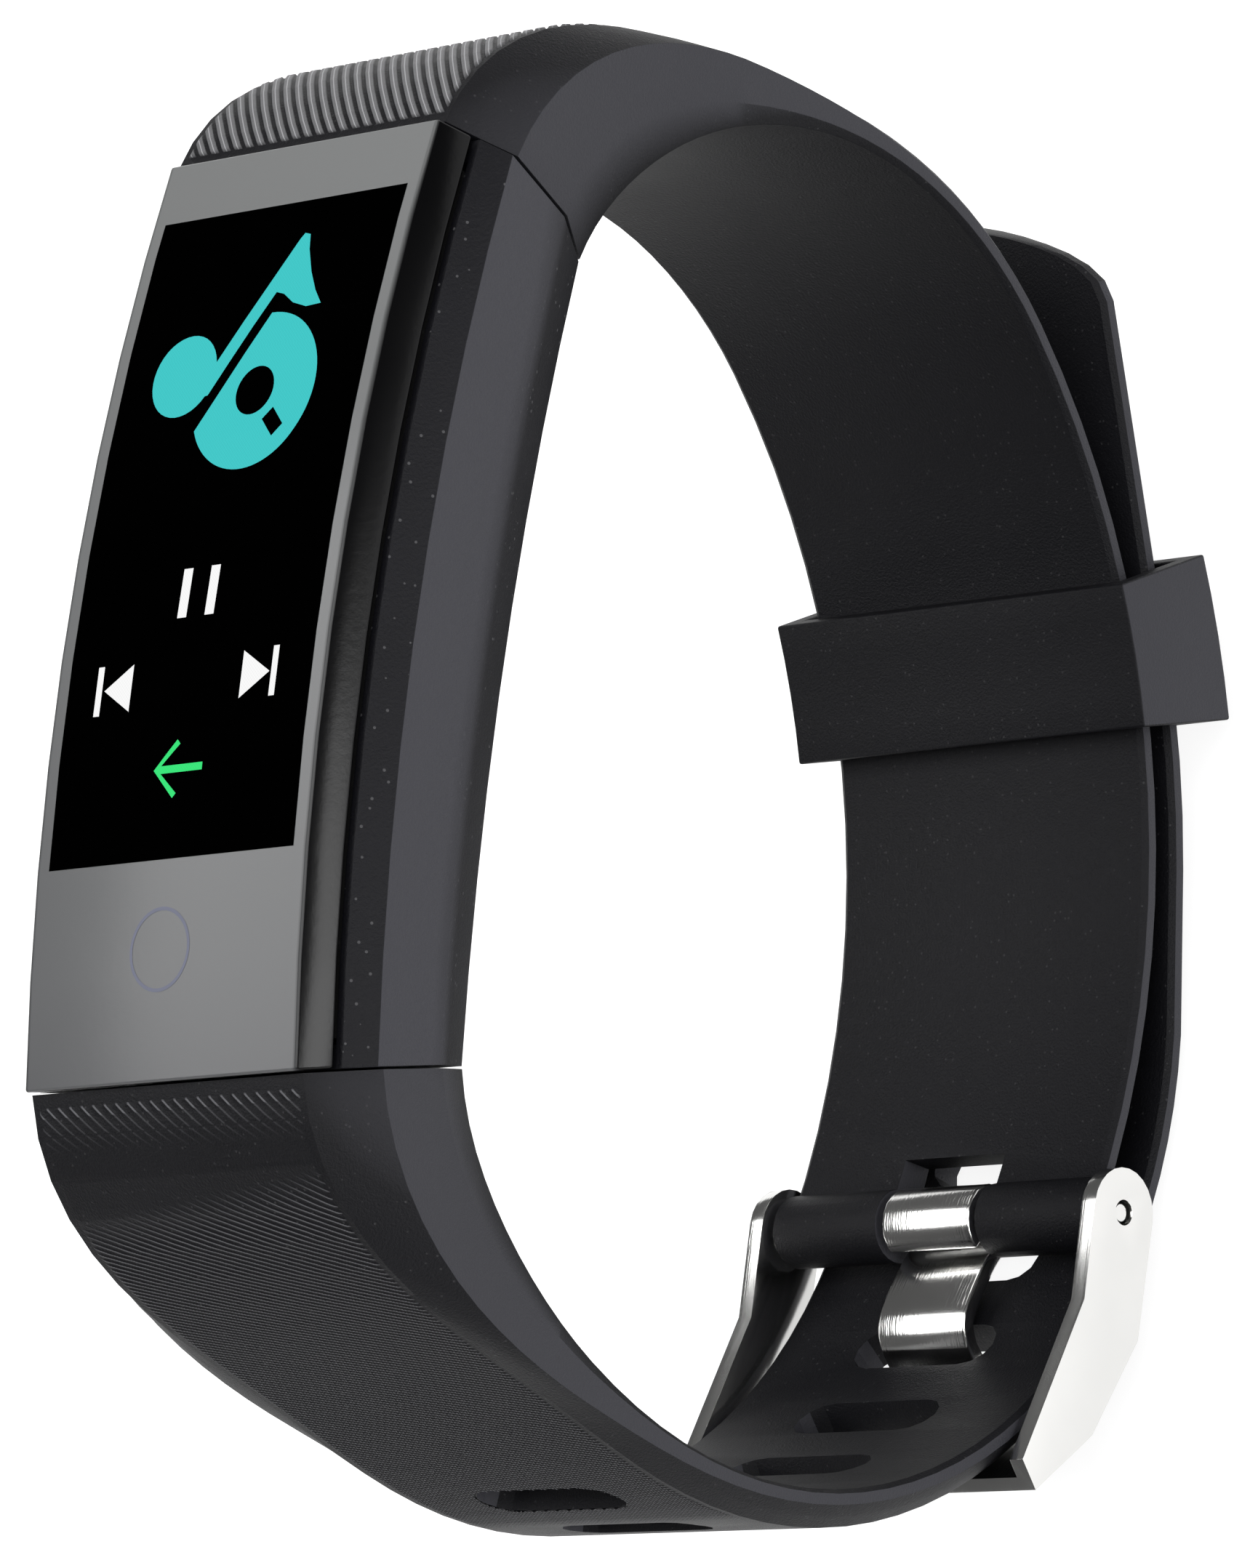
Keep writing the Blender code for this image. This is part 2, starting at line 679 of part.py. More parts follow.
def make_back_cover():
    inner = CASE_DEPTH - COVER_THICKNESS
    side = ((COVER_HALF_WIDTH, inner), (COVER_HALF_WIDTH, CASE_DEPTH))
    cover = case_loft("back_cover", side, COVER_REACH)
    half_length = WINDOW_SIZE[0] / 2 + 0.3 * MM
    half_width = WINDOW_SIZE[1] / 2 + 0.3 * MM
    below, above = z_at(CASE_DEPTH + 2.0 * MM), z_at(CAVITY_FLOOR)
    hole = block("window_hole", (-half_length, -half_width, below), (half_length, half_width, above))
    cut(cover, hole)
    return paint(cover, (0.03, 0.03, 0.034), 0.5)


def make_sensor():
    """Window, two light sources, photodiode and the baffle between them."""
    height = WINDOW_FACE_DEPTH - WINDOW_FLANGE_TOP
    size = (WINDOW_SIZE[0], WINDOW_SIZE[1], height)
    window = plate("sensor_window", (0.0, 0.0), size, WINDOW_FLANGE_TOP)
    bevel = window.modifiers.new("edge", "BEVEL")
    bevel.width = 0.25 * MM
    bevel.segments = 2
    paint(window, (0.02, 0.02, 0.025), 0.1, alpha=0.6)
    depth = WINDOW_FLANGE_TOP - 0.3 * MM - LED_SIZE[2]
    for name, x in (("sensor_led_near", -LED_SPACING), ("sensor_led_far", LED_SPACING)):
        paint(plate(name, (x, 0.0), LED_SIZE, depth), (0.25, 0.85, 0.35), 0.3)
    eye = (LED_SIZE[0] * 1.25, LED_SIZE[1] * 1.5, LED_SIZE[2])
    paint(plate("photodiode", (0.0, 0.0), eye, depth), (0.05, 0.05, 0.08), 0.25)
    room = 0.3 * MM
    inner = (eye[0] + 2 * room, eye[1] + 2 * room)
    outer = (inner[0] + 2 * BAFFLE_WALL, inner[1] + 2 * BAFFLE_WALL, LED_SIZE[2])
    baffle = plate("light_baffle", (0.0, 0.0), outer, depth)
    tall = (inner[0], inner[1], 3 * LED_SIZE[2])
    cut(baffle, plate("baffle_inside", (0.0, 0.0), tall, depth - LED_SIZE[2]))
    paint(baffle, (0.02, 0.02, 0.02), 0.8)


def make_battery():
    battery = plate("battery", (BATTERY_X, 0.0), BATTERY_SIZE, BATTERY_DEPTH)
    bevel = battery.modifiers.new("edge", "BEVEL")
    bevel.width = 0.5 * MM
    bevel.segments = 3
    paint(battery, (0.62, 0.64, 0.66), 0.35, metallic=0.6)
    margin = 1.5 * MM
    foam = (BATTERY_SIZE[0] - 2 * margin, BATTERY_SIZE[1] - 2 * margin, FOAM_THICKNESS)
    depth = BATTERY_DEPTH - 0.3 * MM - FOAM_THICKNESS
    paint(plate("battery_foam", (BATTERY_X, 0.0), foam, depth), (0.06, 0.06, 0.06), 0.9)


def make_board():
    board = plate("main_board", (0.0, 0.0), BOARD_SIZE, BOARD_DEPTH)
    paint(board, (0.02, 0.12, 0.05), 0.45)
    depth = BOARD_DEPTH - 0.3 * MM - CHIP_HEIGHT
    x = BOARD_SIZE[0] / 2 - 1.5 * MM
    radio = plate("radio_chip", (x, -2.6 * MM), (2.8 * MM, 5.0 * MM, CHIP_HEIGHT), depth)
    paint(radio, (0.02, 0.02, 0.022), 0.5)
    motion = plate("motion_chip", (x, 3.0 * MM), (2.0 * MM, 2.0 * MM, CHIP_HEIGHT), depth)
    paint(motion, (0.02, 0.02, 0.022), 0.5)


def make_motor():
    """Coin vibration motor: can, base with its shaft, and the eccentric weight."""
    top = DISPLAY_BAY_FLOOR + 0.2 * MM
    can = disc("motor_can", MOTOR_PLACE, MOTOR_RADIUS, top, MOTOR_HEIGHT)
    inside = disc(
        "motor_can_inside",
        MOTOR_PLACE,
        MOTOR_RADIUS - MOTOR_WALL,
        top + MOTOR_WALL,
        MOTOR_HEIGHT,
    )
    cut(can, inside)
    paint(can, (0.75, 0.75, 0.76), 0.3, metallic=1.0)
    base_depth = top + MOTOR_HEIGHT + 0.15 * MM
    base = disc("motor_base", MOTOR_PLACE, MOTOR_RADIUS, base_depth, MOTOR_WALL)
    shaft_top = top + MOTOR_WALL + 0.2 * MM
    shaft_height = base_depth + MOTOR_WALL / 2 - shaft_top
    shaft = disc("motor_shaft", MOTOR_PLACE, MOTOR_SHAFT_RADIUS, shaft_top, shaft_height, 16)
    join(base, shaft)
    paint(base, (0.70, 0.70, 0.72), 0.35, metallic=1.0)
    swing = MOTOR_RADIUS - MOTOR_WALL - 0.3 * MM
    weight_top = shaft_top + 0.2 * MM
    weight = disc(
        "motor_weight", MOTOR_PLACE, swing, weight_top, MOTOR_WEIGHT_HEIGHT, 16, turn=math.pi
    )
    hub = disc("motor_hub", MOTOR_PLACE, 3 * MOTOR_SHAFT_RADIUS, weight_top, MOTOR_WEIGHT_HEIGHT, 16)
    join(weight, hub)
    tall = 3 * MOTOR_WEIGHT_HEIGHT
    bore_radius = MOTOR_SHAFT_RADIUS + 0.08 * MM
    bore_top = weight_top - MOTOR_WEIGHT_HEIGHT
    cut(weight, disc("motor_bore", MOTOR_PLACE, bore_radius, bore_top, tall, 16))
    paint(weight, (0.45, 0.44, 0.43), 0.4, metallic=1.0)
    place = (*MOTOR_PLACE, z_at(weight_top + MOTOR_WEIGHT_HEIGHT / 2))
    set_origin(weight, place)


def make_charging_tongue():
    """Contact tongue at the hole strap's end, with its four contacts."""
    tongue = tongue_block(
        "charging_tongue", -1.0, TONGUE_WIDTH, TONGUE_THICKNESS, TONGUE_ROOT, TONGUE_REACH
    )
    paint(tongue, (0.03, 0.03, 0.035), 0.5)
    x = LENS_LENGTH / 2 - TONGUE_DEPTH * math.tan(SEAM_TILT)
    seam = Vector((x, z_at(TONGUE_DEPTH)))
    along = Vector((math.cos(SEAM_TILT), -math.sin(SEAM_TILT)))
    up = Vector((math.sin(SEAM_TILT), math.cos(SEAM_TILT)))
    length, width, height = CONTACT_SIZE
    start = TONGUE_REACH - length - 0.6 * MM

    def strip(name, y, wide, extra, low, high):
        outline = []
        for reach, level in (
            (start - extra, low),
            (start + length + extra, low),
            (start + length + extra, high),
            (start - extra, high),
        ):
            place = seam + reach * along + (TONGUE_THICKNESS / 2 + level) * up
            outline.append((-place.x, place.y))
        return prism(name, outline, y - wide / 2, y + wide / 2)

    gap = 0.1 * MM
    for number in range(4):
        y = (number - 1.5) * CONTACT_PITCH
        groove = strip(
            f"contact_groove_{number + 1}", y, width + 2 * gap, gap, -CONTACT_GROOVE, 1.0 * MM
        )
        cut(tongue, groove)
        low = gap - CONTACT_GROOVE
        contact = strip(f"charging_contact_{number + 1}", y, width, 0.0, low, low + height)
        paint(contact, (0.90, 0.68, 0.28), 0.25, metallic=1.0)


# --------------------------------------------------------------------- buckle

def crossbar_corners():
    """Crossbar's section, outer face first: tail side, far side, and back."""
    side = hole_arcs()[1]
    normal = side.at(CROSSBAR_AT)[1]
    tangent = Vector((normal.y, -normal.x))
    inner = side.radius + STRAP_THICKNESS + CROSSBAR_GAP
    corners = []
    for height, along in ((1, 1), (1, -1), (0, -1), (0, 1)):
        place = side.centre + (inner + height * CROSSBAR_THICKNESS) * normal
        corners.append(mirrored(place + along * CROSSBAR_WIDTH / 2 * tangent))
    return corners


def ear_outline():
    """Side plate: round about the spring bar, straight, then down to the crossbar."""
    pin = pin_axis()
    outline = [
        (pin.x + EAR_RADIUS * math.cos(angle), pin.y + EAR_RADIUS * math.sin(angle))
        for angle in (math.pi / 2 - math.pi * i / 12 for i in range(13))
    ]
    tail_outer, far_outer, far_inner, _ = crossbar_corners()
    inward = (far_inner - far_outer).normalized()
    outline.append((pin.x - EAR_STRAIGHT, pin.y - EAR_RADIUS))
    outline.append(tuple(tail_outer))
    outline.append(tuple(far_outer))
    outline.append(tuple(far_inner + EAR_END_LIP * inward))
    outline.append((pin.x - EAR_BEND, pin.y + EAR_RADIUS * 0.95))
    # The arc above starts on the wrist side and runs over the loop's back.
    return [outline[0]] + outline[:0:-1]


def make_buckle_frame():
    outer_face = EAR_INNER_FACE + EAR_THICKNESS
    outline = ear_outline()
    frame = prism("buckle_frame", outline, EAR_INNER_FACE, outer_face)
    join(frame, prism("near_ear", outline, -outer_face, -EAR_INNER_FACE))
    corners = [tuple(corner) for corner in crossbar_corners()]
    middle = (EAR_INNER_FACE + outer_face) / 2
    join(frame, prism("crossbar", corners, -middle, middle))
    end = outer_face + 1.0 * MM
    cut(frame, rod("ear_holes", pin_axis(), EAR_HOLE_RADIUS, -end, end))
    paint(frame, (0.78, 0.77, 0.75), 0.15, metallic=1.0)
    pin = pin_axis()
    return set_origin(frame, (pin.x, 0.0, pin.y))


def smooth_points(controls, per_span=6):
    """Catmull-Rom points through the controls, ends included."""
    ends = [2 * controls[0] - controls[1], *controls, 2 * controls[-1] - controls[-2]]
    points = []
    for before, a, b, after in zip(ends, ends[1:], ends[2:], ends[3:]):
        for i in range(per_span):
            t = i / per_span
            points.append(
                0.5 * (2 * a + (b - before) * t + (2 * before - 5 * a + 4 * b - after) * t**2
                       + (3 * a - before - 3 * b + after) * t**3)
            )
    return points + [controls[-1]]


def prong_centreline():
    """Round the spring bar, across to its slot, out and over the crossbar."""
    pin = pin_axis()
    start, end = math.radians(205), math.radians(490)
    steps = 16
    loop = []
    for i in range(steps):
        angle = start + (end - start) * i / steps
        loop.append(pin + PRONG_LOOP_RADIUS * Vector((math.cos(angle), -math.sin(angle))))
    side = hole_arcs()[1]
    point, normal = side.at(PRONG_SLOT_AT)
    tangent = Vector((normal.y, -normal.x))
    inside = mirrored(point - 0.9 * MM * normal + 1.15 * MM * tangent)
    entry = mirrored(point + 0.1 * MM * normal + 0.25 * MM * tangent)
    leaving = mirrored(point + (STRAP_THICKNESS + 0.1 * MM) * normal - 0.35 * MM * tangent)
    tail_outer, far_outer = crossbar_corners()[:2]
    outward = (tail_outer - crossbar_corners()[3]).normalized()
    lift = (PRONG_THICKNESS / 2 + CROSSBAR_GAP) * outward
    over = tail_outer + lift + 0.3 * MM * (tail_outer - far_outer).normalized()
    tip = tail_outer.lerp(far_outer, 0.72) + lift
    off = pin + PRONG_LOOP_RADIUS * Vector((math.cos(end), -math.sin(end)))
    down = off + 1.6 * MM * Vector((-0.86, 0.5))
    return loop + smooth_points([off, down, inside, entry, leaving, over, tip])


def thick_line(points, thickness):
    """An outline that runs along both sides of a line."""
    left, right = [], []
    for i, point in enumerate(points):
        along = points[min(i + 1, len(points) - 1)] - points[max(i - 1, 0)]
        side = Vector((-along.y, along.x)).normalized() * thickness / 2
        left.append(tuple(point + side))
        right.append(tuple(point - side))
    return left + right[::-1]


def make_buckle_tongue():
    outline = thick_line(prong_centreline(), PRONG_THICKNESS)
    half = TONGUE_TIP_WIDTH / 2
    tongue = prism("buckle_tongue", outline, -half, half)
    paint(tongue, (0.80, 0.79, 0.77), 0.15, metallic=1.0)
    pin = pin_axis()
    return set_origin(tongue, (pin.x, 0.0, pin.y))


def helix(name, radius, wire, half_length, turns):
    """A coil along Y about the spring bar's axis."""
    pin = pin_axis()
    per_turn, sides = 9, 5
    rings = []
    for i in range(turns * per_turn + 1):
        angle = math.tau * i / per_turn
        y = half_length * (2 * i / (turns * per_turn) - 1)
        ring = []
        for k in range(sides):
            around = math.tau * k / sides
            out = radius + wire * math.cos(around)
            ring.append(
                (
                    pin.x + out * math.cos(angle),
                    y + wire * math.sin(around),
                    pin.y + out * math.sin(angle),
                )
            )
        rings.append(ring)
    return loft(name, rings)


def make_spring_bar():
    pin = pin_axis()
    tube = rod("spring_bar_tube", pin, BAR_RADIUS, -BAR_HALF_LENGTH, BAR_HALF_LENGTH)
    past = BAR_HALF_LENGTH + 1.0 * MM
    cut(tube, rod("spring_bar_bore", pin, BAR_BORE_RADIUS, -past, past))
    paint(tube, (0.70, 0.70, 0.70), 0.3, metallic=1.0)
    for name, side in (("bar_tip_near", -1), ("bar_tip_far", 1)):
        ends = sorted((side * BAR_TIP_INNER_END, side * BAR_TIP_OUTER_END))
        tip = rod(name, pin, BAR_TIP_RADIUS, *ends, sides=16)
        paint(tip, (0.72, 0.72, 0.72), 0.25, metallic=1.0)
        set_origin(tip, (pin.x, side * BAR_TIP_OUTER_END, pin.y))
    half_length = BAR_TIP_INNER_END - SPRING_WIRE_RADIUS - 0.15 * MM
    spring = helix("bar_spring", SPRING_RADIUS, SPRING_WIRE_RADIUS, half_length, SPRING_TURNS)
    paint(spring, (0.65, 0.65, 0.66), 0.35, metallic=1.0)


# --------------------------------------------------------------------- keeper

def keeper_body(name, low, high, half_width, half_length):
    """A slab of the keeper, bent with the straps about their common centre."""
    overlap = buckle_arcs()[2]
    spread = half_length / OVERLAP_RADIUS
    rings = []
    steps = 4
    for i in range(steps + 1):
        normal = overlap.at(KEEPER_AT + spread * (2 * i / steps - 1))[1]
        inner = overlap.centre + low * normal
        outer = overlap.centre + high * normal
        rings.append(
            [
                (inner.x, -half_width, inner.y),
                (inner.x, half_width, inner.y),
                (outer.x, half_width, outer.y),
                (outer.x, -half_width, outer.y),
            ]
        )
    return loft(name, rings)


def make_keeper():
    inner_face = OVERLAP_RADIUS - KEEPER_CLEARANCE
    layers = 2 * STRAP_THICKNESS + LAYER_GAP
    outer_face = OVERLAP_RADIUS + layers + KEEPER_CLEARANCE
    half_width = THIN_LOW[0] + KEEPER_CLEARANCE
    wall = KEEPER_WALL
    keeper = keeper_body(
        "keeper_loop", inner_face - wall, outer_face + wall, half_width + wall, KEEPER_LENGTH / 2
    )
    cut(keeper, keeper_body("keeper_inside", inner_face, outer_face, half_width, KEEPER_LENGTH))
    paint(keeper, (0.035, 0.035, 0.04), 0.6)
    centre = buckle_arcs()[2].centre
    return set_origin(keeper, (centre.x, 0.0, centre.y))


def main():
    clear_scene()
    make_front_lens()
    make_lens_gasket()
    make_optical_bond()
    make_display()
    make_touch_pad()
    make_mid_case()
    make_back_cover()
    make_sensor()
    make_battery()
    make_board()
    make_motor()
    make_charging_tongue()
    make_buckle_strap()
    make_hole_strap()
    make_spring_bar()
    make_buckle_frame()
    make_buckle_tongue()
    make_keeper()


main()
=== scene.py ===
# %% [markdown]
# Fitness tracker band, buckled into its loop.
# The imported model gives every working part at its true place, in metres. This
# lesson keeps those places and gives each part its finished surface: rounded
# moulding edges, ribbed strap faces, a lit screen, and a finish for each material.

# %% Load the frame
import json
import math
import bpy
from mathutils import Matrix, Vector
from mathutils.bvhtree import BVHTree

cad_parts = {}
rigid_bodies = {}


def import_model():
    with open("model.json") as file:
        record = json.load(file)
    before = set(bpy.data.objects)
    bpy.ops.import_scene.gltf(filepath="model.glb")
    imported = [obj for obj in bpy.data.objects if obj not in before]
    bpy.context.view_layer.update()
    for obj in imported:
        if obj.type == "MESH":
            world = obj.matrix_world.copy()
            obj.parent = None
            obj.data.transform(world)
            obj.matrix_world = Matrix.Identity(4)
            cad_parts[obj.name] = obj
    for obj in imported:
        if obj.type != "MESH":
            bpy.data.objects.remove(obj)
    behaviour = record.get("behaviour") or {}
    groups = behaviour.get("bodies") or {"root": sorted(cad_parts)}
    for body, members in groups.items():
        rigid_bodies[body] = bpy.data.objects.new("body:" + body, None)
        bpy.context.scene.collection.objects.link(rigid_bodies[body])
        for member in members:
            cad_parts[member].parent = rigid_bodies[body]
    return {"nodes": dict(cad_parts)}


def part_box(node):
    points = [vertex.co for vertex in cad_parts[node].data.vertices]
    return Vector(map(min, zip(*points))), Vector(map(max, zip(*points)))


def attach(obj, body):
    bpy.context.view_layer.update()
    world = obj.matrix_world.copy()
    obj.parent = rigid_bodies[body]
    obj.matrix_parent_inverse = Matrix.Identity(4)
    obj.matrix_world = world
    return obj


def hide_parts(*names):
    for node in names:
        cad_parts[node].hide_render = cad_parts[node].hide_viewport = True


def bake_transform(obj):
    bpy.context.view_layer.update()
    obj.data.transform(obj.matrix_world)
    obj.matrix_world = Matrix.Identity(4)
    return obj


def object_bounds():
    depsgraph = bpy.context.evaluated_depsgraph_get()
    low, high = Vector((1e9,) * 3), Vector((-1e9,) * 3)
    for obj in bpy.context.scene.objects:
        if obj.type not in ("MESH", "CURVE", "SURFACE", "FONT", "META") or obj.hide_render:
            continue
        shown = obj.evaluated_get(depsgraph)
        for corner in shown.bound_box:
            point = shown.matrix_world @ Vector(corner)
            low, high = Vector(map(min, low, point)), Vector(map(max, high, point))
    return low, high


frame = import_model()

MM = 0.001
cad_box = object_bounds()
bpy.ops.object.select_all(action="DESELECT")
print("parts in the frame:", len(frame["nodes"]))

# %% [markdown]
# The camera stands about 0.4 m off, above and in front of the wrist opening, and is
# rolled so that the module stands upright in the picture. A long lens keeps the loop
# from looking wider near the camera. Its place is written as a direction and a
# distance from the middle of the lens.

# %% Camera
TOWARDS_CAMERA = Vector((-0.2583, -0.6790, 0.6872))
PICTURE_UP = Vector((0.9565, -0.0799, 0.2806))
CAMERA_OFFSET = Vector((-0.10658, -0.27843, 0.25635))
FOCAL_LENGTH = 207.0
SENSOR = 36.0


def add_camera():
    data = bpy.data.cameras.new("camera")
    data.lens = FOCAL_LENGTH
    data.sensor_width = SENSOR
    data.sensor_fit = "AUTO"
    data.clip_start = 0.01
    data.clip_end = 10.0
    camera = bpy.data.objects.new("camera", data)
    bpy.context.scene.collection.objects.link(camera)
    back = TOWARDS_CAMERA.normalized()
    right = PICTURE_UP.cross(back).normalized()
    up = back.cross(right)
    turn = Matrix((right, up, back)).transposed()
    lens_end = Vector((0.0, 0.0, 10.2 * MM))
    camera.matrix_world = Matrix.Translation(lens_end + CAMERA_OFFSET) @ turn.to_4x4()
    bpy.context.scene.camera = camera
    return camera


camera = add_camera()
print("camera is", round(camera.location.length, 3), "m from the sensor window")

# %% [markdown]
# Black rubber shows its shape only by what it reflects, so the room round it is dim
# and the light comes from broad, soft panels: a large pair overhead that also turns
# the floor white and fills each other's shadow, one beside the near edge for the
# side facets, and one over the buckle strap's ribs. The floor is a light table,
# which glows a little, so that no shadow greys it.

# %% Light and floor
def add_world(strength):
    world = bpy.data.worlds.new("studio")
    world.use_nodes = True
    background = world.node_tree.nodes["Background"]
    background.inputs["Color"].default_value = (1.0, 1.0, 1.0, 1.0)
    background.inputs["Strength"].default_value = strength
    bpy.context.scene.world = world
    bpy.context.scene.view_settings.view_transform = "Standard"


def add_panel(name, place, size, radiance):
    """A soft panel light that faces the middle of the loop."""
    data = bpy.data.lights.new(name, "AREA")
    data.shape = "RECTANGLE"
    data.size, data.size_y = size
    data.energy = radiance * math.pi * size[0] * size[1]
    lamp = bpy.data.objects.new(name, data)
    bpy.context.scene.collection.objects.link(lamp)
    target = Vector((0.0, 0.0, -18.0 * MM))
    lamp.location = place
    lamp.rotation_euler = (Vector(place) - target).to_track_quat("Z", "Y").to_euler()
    return lamp


add_world(0.10)
add_panel("far_overhead_panel", (0.0, 0.8, 1.4), (1.2, 1.2), 5.0)
add_panel("near_overhead_panel", (0.0, -0.8, 1.4), (1.2, 1.2), 5.0)
add_panel("near_side_panel", (-0.10, -0.75, 0.04), (0.55, 0.35), 8.0)
add_panel("buckle_side_panel", (0.60, 0.10, 0.45), (0.40, 0.40), 3.0)


FLOOR_SIZE = 6.0
FLOOR_GAP = 0.0002
FLOOR_TONE = 0.30
FLOOR_GLOW = 0.87


def add_floor():
    lowest = cad_box[0][2]
    bpy.ops.mesh.primitive_plane_add(size=FLOOR_SIZE, location=(0.0, 0.0, lowest - FLOOR_GAP))
    floor = bpy.context.object
    floor.name = "floor"
    paint = bpy.data.materials.new("pale_floor")
    paint.use_nodes = True
    shader = paint.node_tree.nodes["Principled BSDF"]
    shader.inputs["Base Color"].default_value = (FLOOR_TONE, FLOOR_TONE, FLOOR_TONE, 1.0)
    shader.inputs["Roughness"].default_value = 0.9
    shader.inputs["Emission Color"].default_value = (1.0, 1.0, 1.0, 1.0)
    shader.inputs["Emission Strength"].default_value = FLOOR_GLOW
    floor.data.materials.append(paint)
    floor.select_set(False)


add_floor()
print("floor at", round(cad_box[0][2] * 1000, 2), "mm")

# %% [markdown]
# Materials come next. Two effects return in many of them. The fine grain is the
# spark-eroded texture that a mould leaves on rubber and plastic: a close bump and a
# scatter of paler specks. Handling marks are the wide, soft changes of gloss that
# fingers leave. Both are node groups, so that each finish sets its own amount.

# %% Node helpers
def add_node(tree, kind, place, **settings):
    node = tree.nodes.new(kind)
    node.location = place
    for name, value in settings.items():
        setattr(node, name, value)
    return node


def new_group(name, inputs, outputs):
    group = bpy.data.node_groups.new(name, "ShaderNodeTree")
    for label, kind, value in inputs:
        socket = group.interface.new_socket(label, in_out="INPUT", socket_type=kind)
        socket.default_value = value
    for label, kind in outputs:
        group.interface.new_socket(label, in_out="OUTPUT", socket_type=kind)
    ends = (
        add_node(group, "NodeGroupInput", (-700, 0)),
        add_node(group, "NodeGroupOutput", (700, 0)),
    )
    return group, *ends


def math_node(tree, operation, place, first=None, second=None):
    """A Math node whose inputs are sockets or numbers."""
    node = add_node(tree, "ShaderNodeMath", place, operation=operation)
    for index, value in enumerate((first, second)):
        if value is None:
            continue
        if isinstance(value, bpy.types.NodeSocket):
            tree.links.new(value, node.inputs[index])
        else:
            node.inputs[index].default_value = value
    return node.outputs[0]


# %% Fine grain group
def make_fine_grain():
    group, source, result = new_group(
        "fine_grain",
        (("Scale", "NodeSocketFloat", 7000.0), ("Specks", "NodeSocketFloat", 0.5)),
        (("Height", "NodeSocketFloat"), ("Specks", "NodeSocketFloat")),
    )
    place = add_node(group, "ShaderNodeTexCoord", (-700, -300))
    grain = add_node(group, "ShaderNodeTexNoise", (-400, 100))
    grain.inputs["Detail"].default_value = 3.0
    grain.inputs["Roughness"].default_value = 0.7
    dots = add_node(group, "ShaderNodeTexVoronoi", (-400, -250))
    group.links.new(place.outputs["Object"], grain.inputs["Vector"])
    group.links.new(place.outputs["Object"], dots.inputs["Vector"])
    group.links.new(source.outputs["Scale"], grain.inputs["Scale"])
    coarse = math_node(group, "MULTIPLY", (-560, -250), source.outputs["Scale"], 0.35)
    group.links.new(coarse, dots.inputs["Scale"])
    inside = math_node(group, "LESS_THAN", (-150, -250), dots.outputs["Distance"], 0.16)
    picked = add_node(group, "ShaderNodeSeparateColor", (-150, -420))
    group.links.new(dots.outputs["Color"], picked.inputs["Color"])
    some = math_node(group, "GREATER_THAN", (50, -420), picked.outputs["Red"], 0.62)
    shown = math_node(group, "MULTIPLY", (220, -300), inside, some)
    amount = math_node(group, "MULTIPLY", (420, -300), shown, source.outputs["Specks"])
    group.links.new(grain.outputs["Fac"], result.inputs["Height"])
    group.links.new(amount, result.inputs["Specks"])
    return group


def make_handling_marks():
    group, source, result = new_group(
        "handling_marks",
        (
            ("Scale", "NodeSocketFloat", 140.0),
            ("Roughness", "NodeSocketFloat", 0.5),
            ("Spread", "NodeSocketFloat", 0.08),
        ),
        (("Roughness", "NodeSocketFloat"), ("Shade", "NodeSocketFloat")),
    )
    place = add_node(group, "ShaderNodeTexCoord", (-700, -300))
    cloud = add_node(group, "ShaderNodeTexNoise", (-400, 0))
    cloud.inputs["Detail"].default_value = 4.0
    group.links.new(place.outputs["Object"], cloud.inputs["Vector"])
    group.links.new(source.outputs["Scale"], cloud.inputs["Scale"])
    centred = math_node(group, "SUBTRACT", (-150, 0), cloud.outputs["Fac"], 0.5)
    swing = math_node(group, "MULTIPLY", (50, 0), centred, source.outputs["Spread"])
    total = math_node(group, "ADD", (250, 0), swing, source.outputs["Roughness"])
    group.links.new(total, result.inputs["Roughness"])
    group.links.new(cloud.outputs["Fac"], result.inputs["Shade"])
    return group


fine_grain = make_fine_grain()
handling_marks = make_handling_marks()
print("groups:", fine_grain.name, handling_marks.name)

# %% [markdown]
# Every plain finish has the same build: a colour that drifts a little between two
# tones, specks, changing gloss and a fine bump. One function makes it, and the
# finishes that need more add their nodes to what it returns.

# %% Finish maker
class Finish:
    """A material with its tree, shader and the sockets that may be changed."""

    def __init__(self, name, dark, light, roughness, spread, grain_scale, bump, specks):
        self.material = bpy.data.materials.new(name)
        self.material.use_nodes = True
        tree = self.tree = self.material.node_tree
        self.shader = tree.nodes["Principled BSDF"]
        grain = add_node(tree, "ShaderNodeGroup", (-900, -100), node_tree=fine_grain)
        grain.inputs["Scale"].default_value = grain_scale
        grain.inputs["Specks"].default_value = specks
        marks = add_node(tree, "ShaderNodeGroup", (-900, 200), node_tree=handling_marks)
        marks.inputs["Roughness"].default_value = roughness
        marks.inputs["Spread"].default_value = spread
        tone = add_node(tree, "ShaderNodeMix", (-620, 250), data_type="RGBA")
        tone.inputs["A"].default_value = (*dark, 1.0)
        tone.inputs["B"].default_value = (*light, 1.0)
        tree.links.new(marks.outputs["Shade"], tone.inputs["Factor"])
        speck = add_node(tree, "ShaderNodeMix", (-400, 250), data_type="RGBA")
        paler = [min(1.0, 0.06 + 1.6 * channel) for channel in light]
        speck.inputs["B"].default_value = (*paler, 1.0)
        tree.links.new(grain.outputs["Specks"], speck.inputs["Factor"])
        tree.links.new(tone.outputs["Result"], speck.inputs["A"])
        relief = add_node(tree, "ShaderNodeBump", (-300, -200))
        relief.inputs["Distance"].default_value = bump
        tree.links.new(grain.outputs["Height"], relief.inputs["Height"])
        tree.links.new(relief.outputs["Normal"], self.shader.inputs["Normal"])
        tree.links.new(marks.outputs["Roughness"], self.shader.inputs["Roughness"])
        self.colour = speck.outputs["Result"]
        tree.links.new(self.colour, self.shader.inputs["Base Color"])
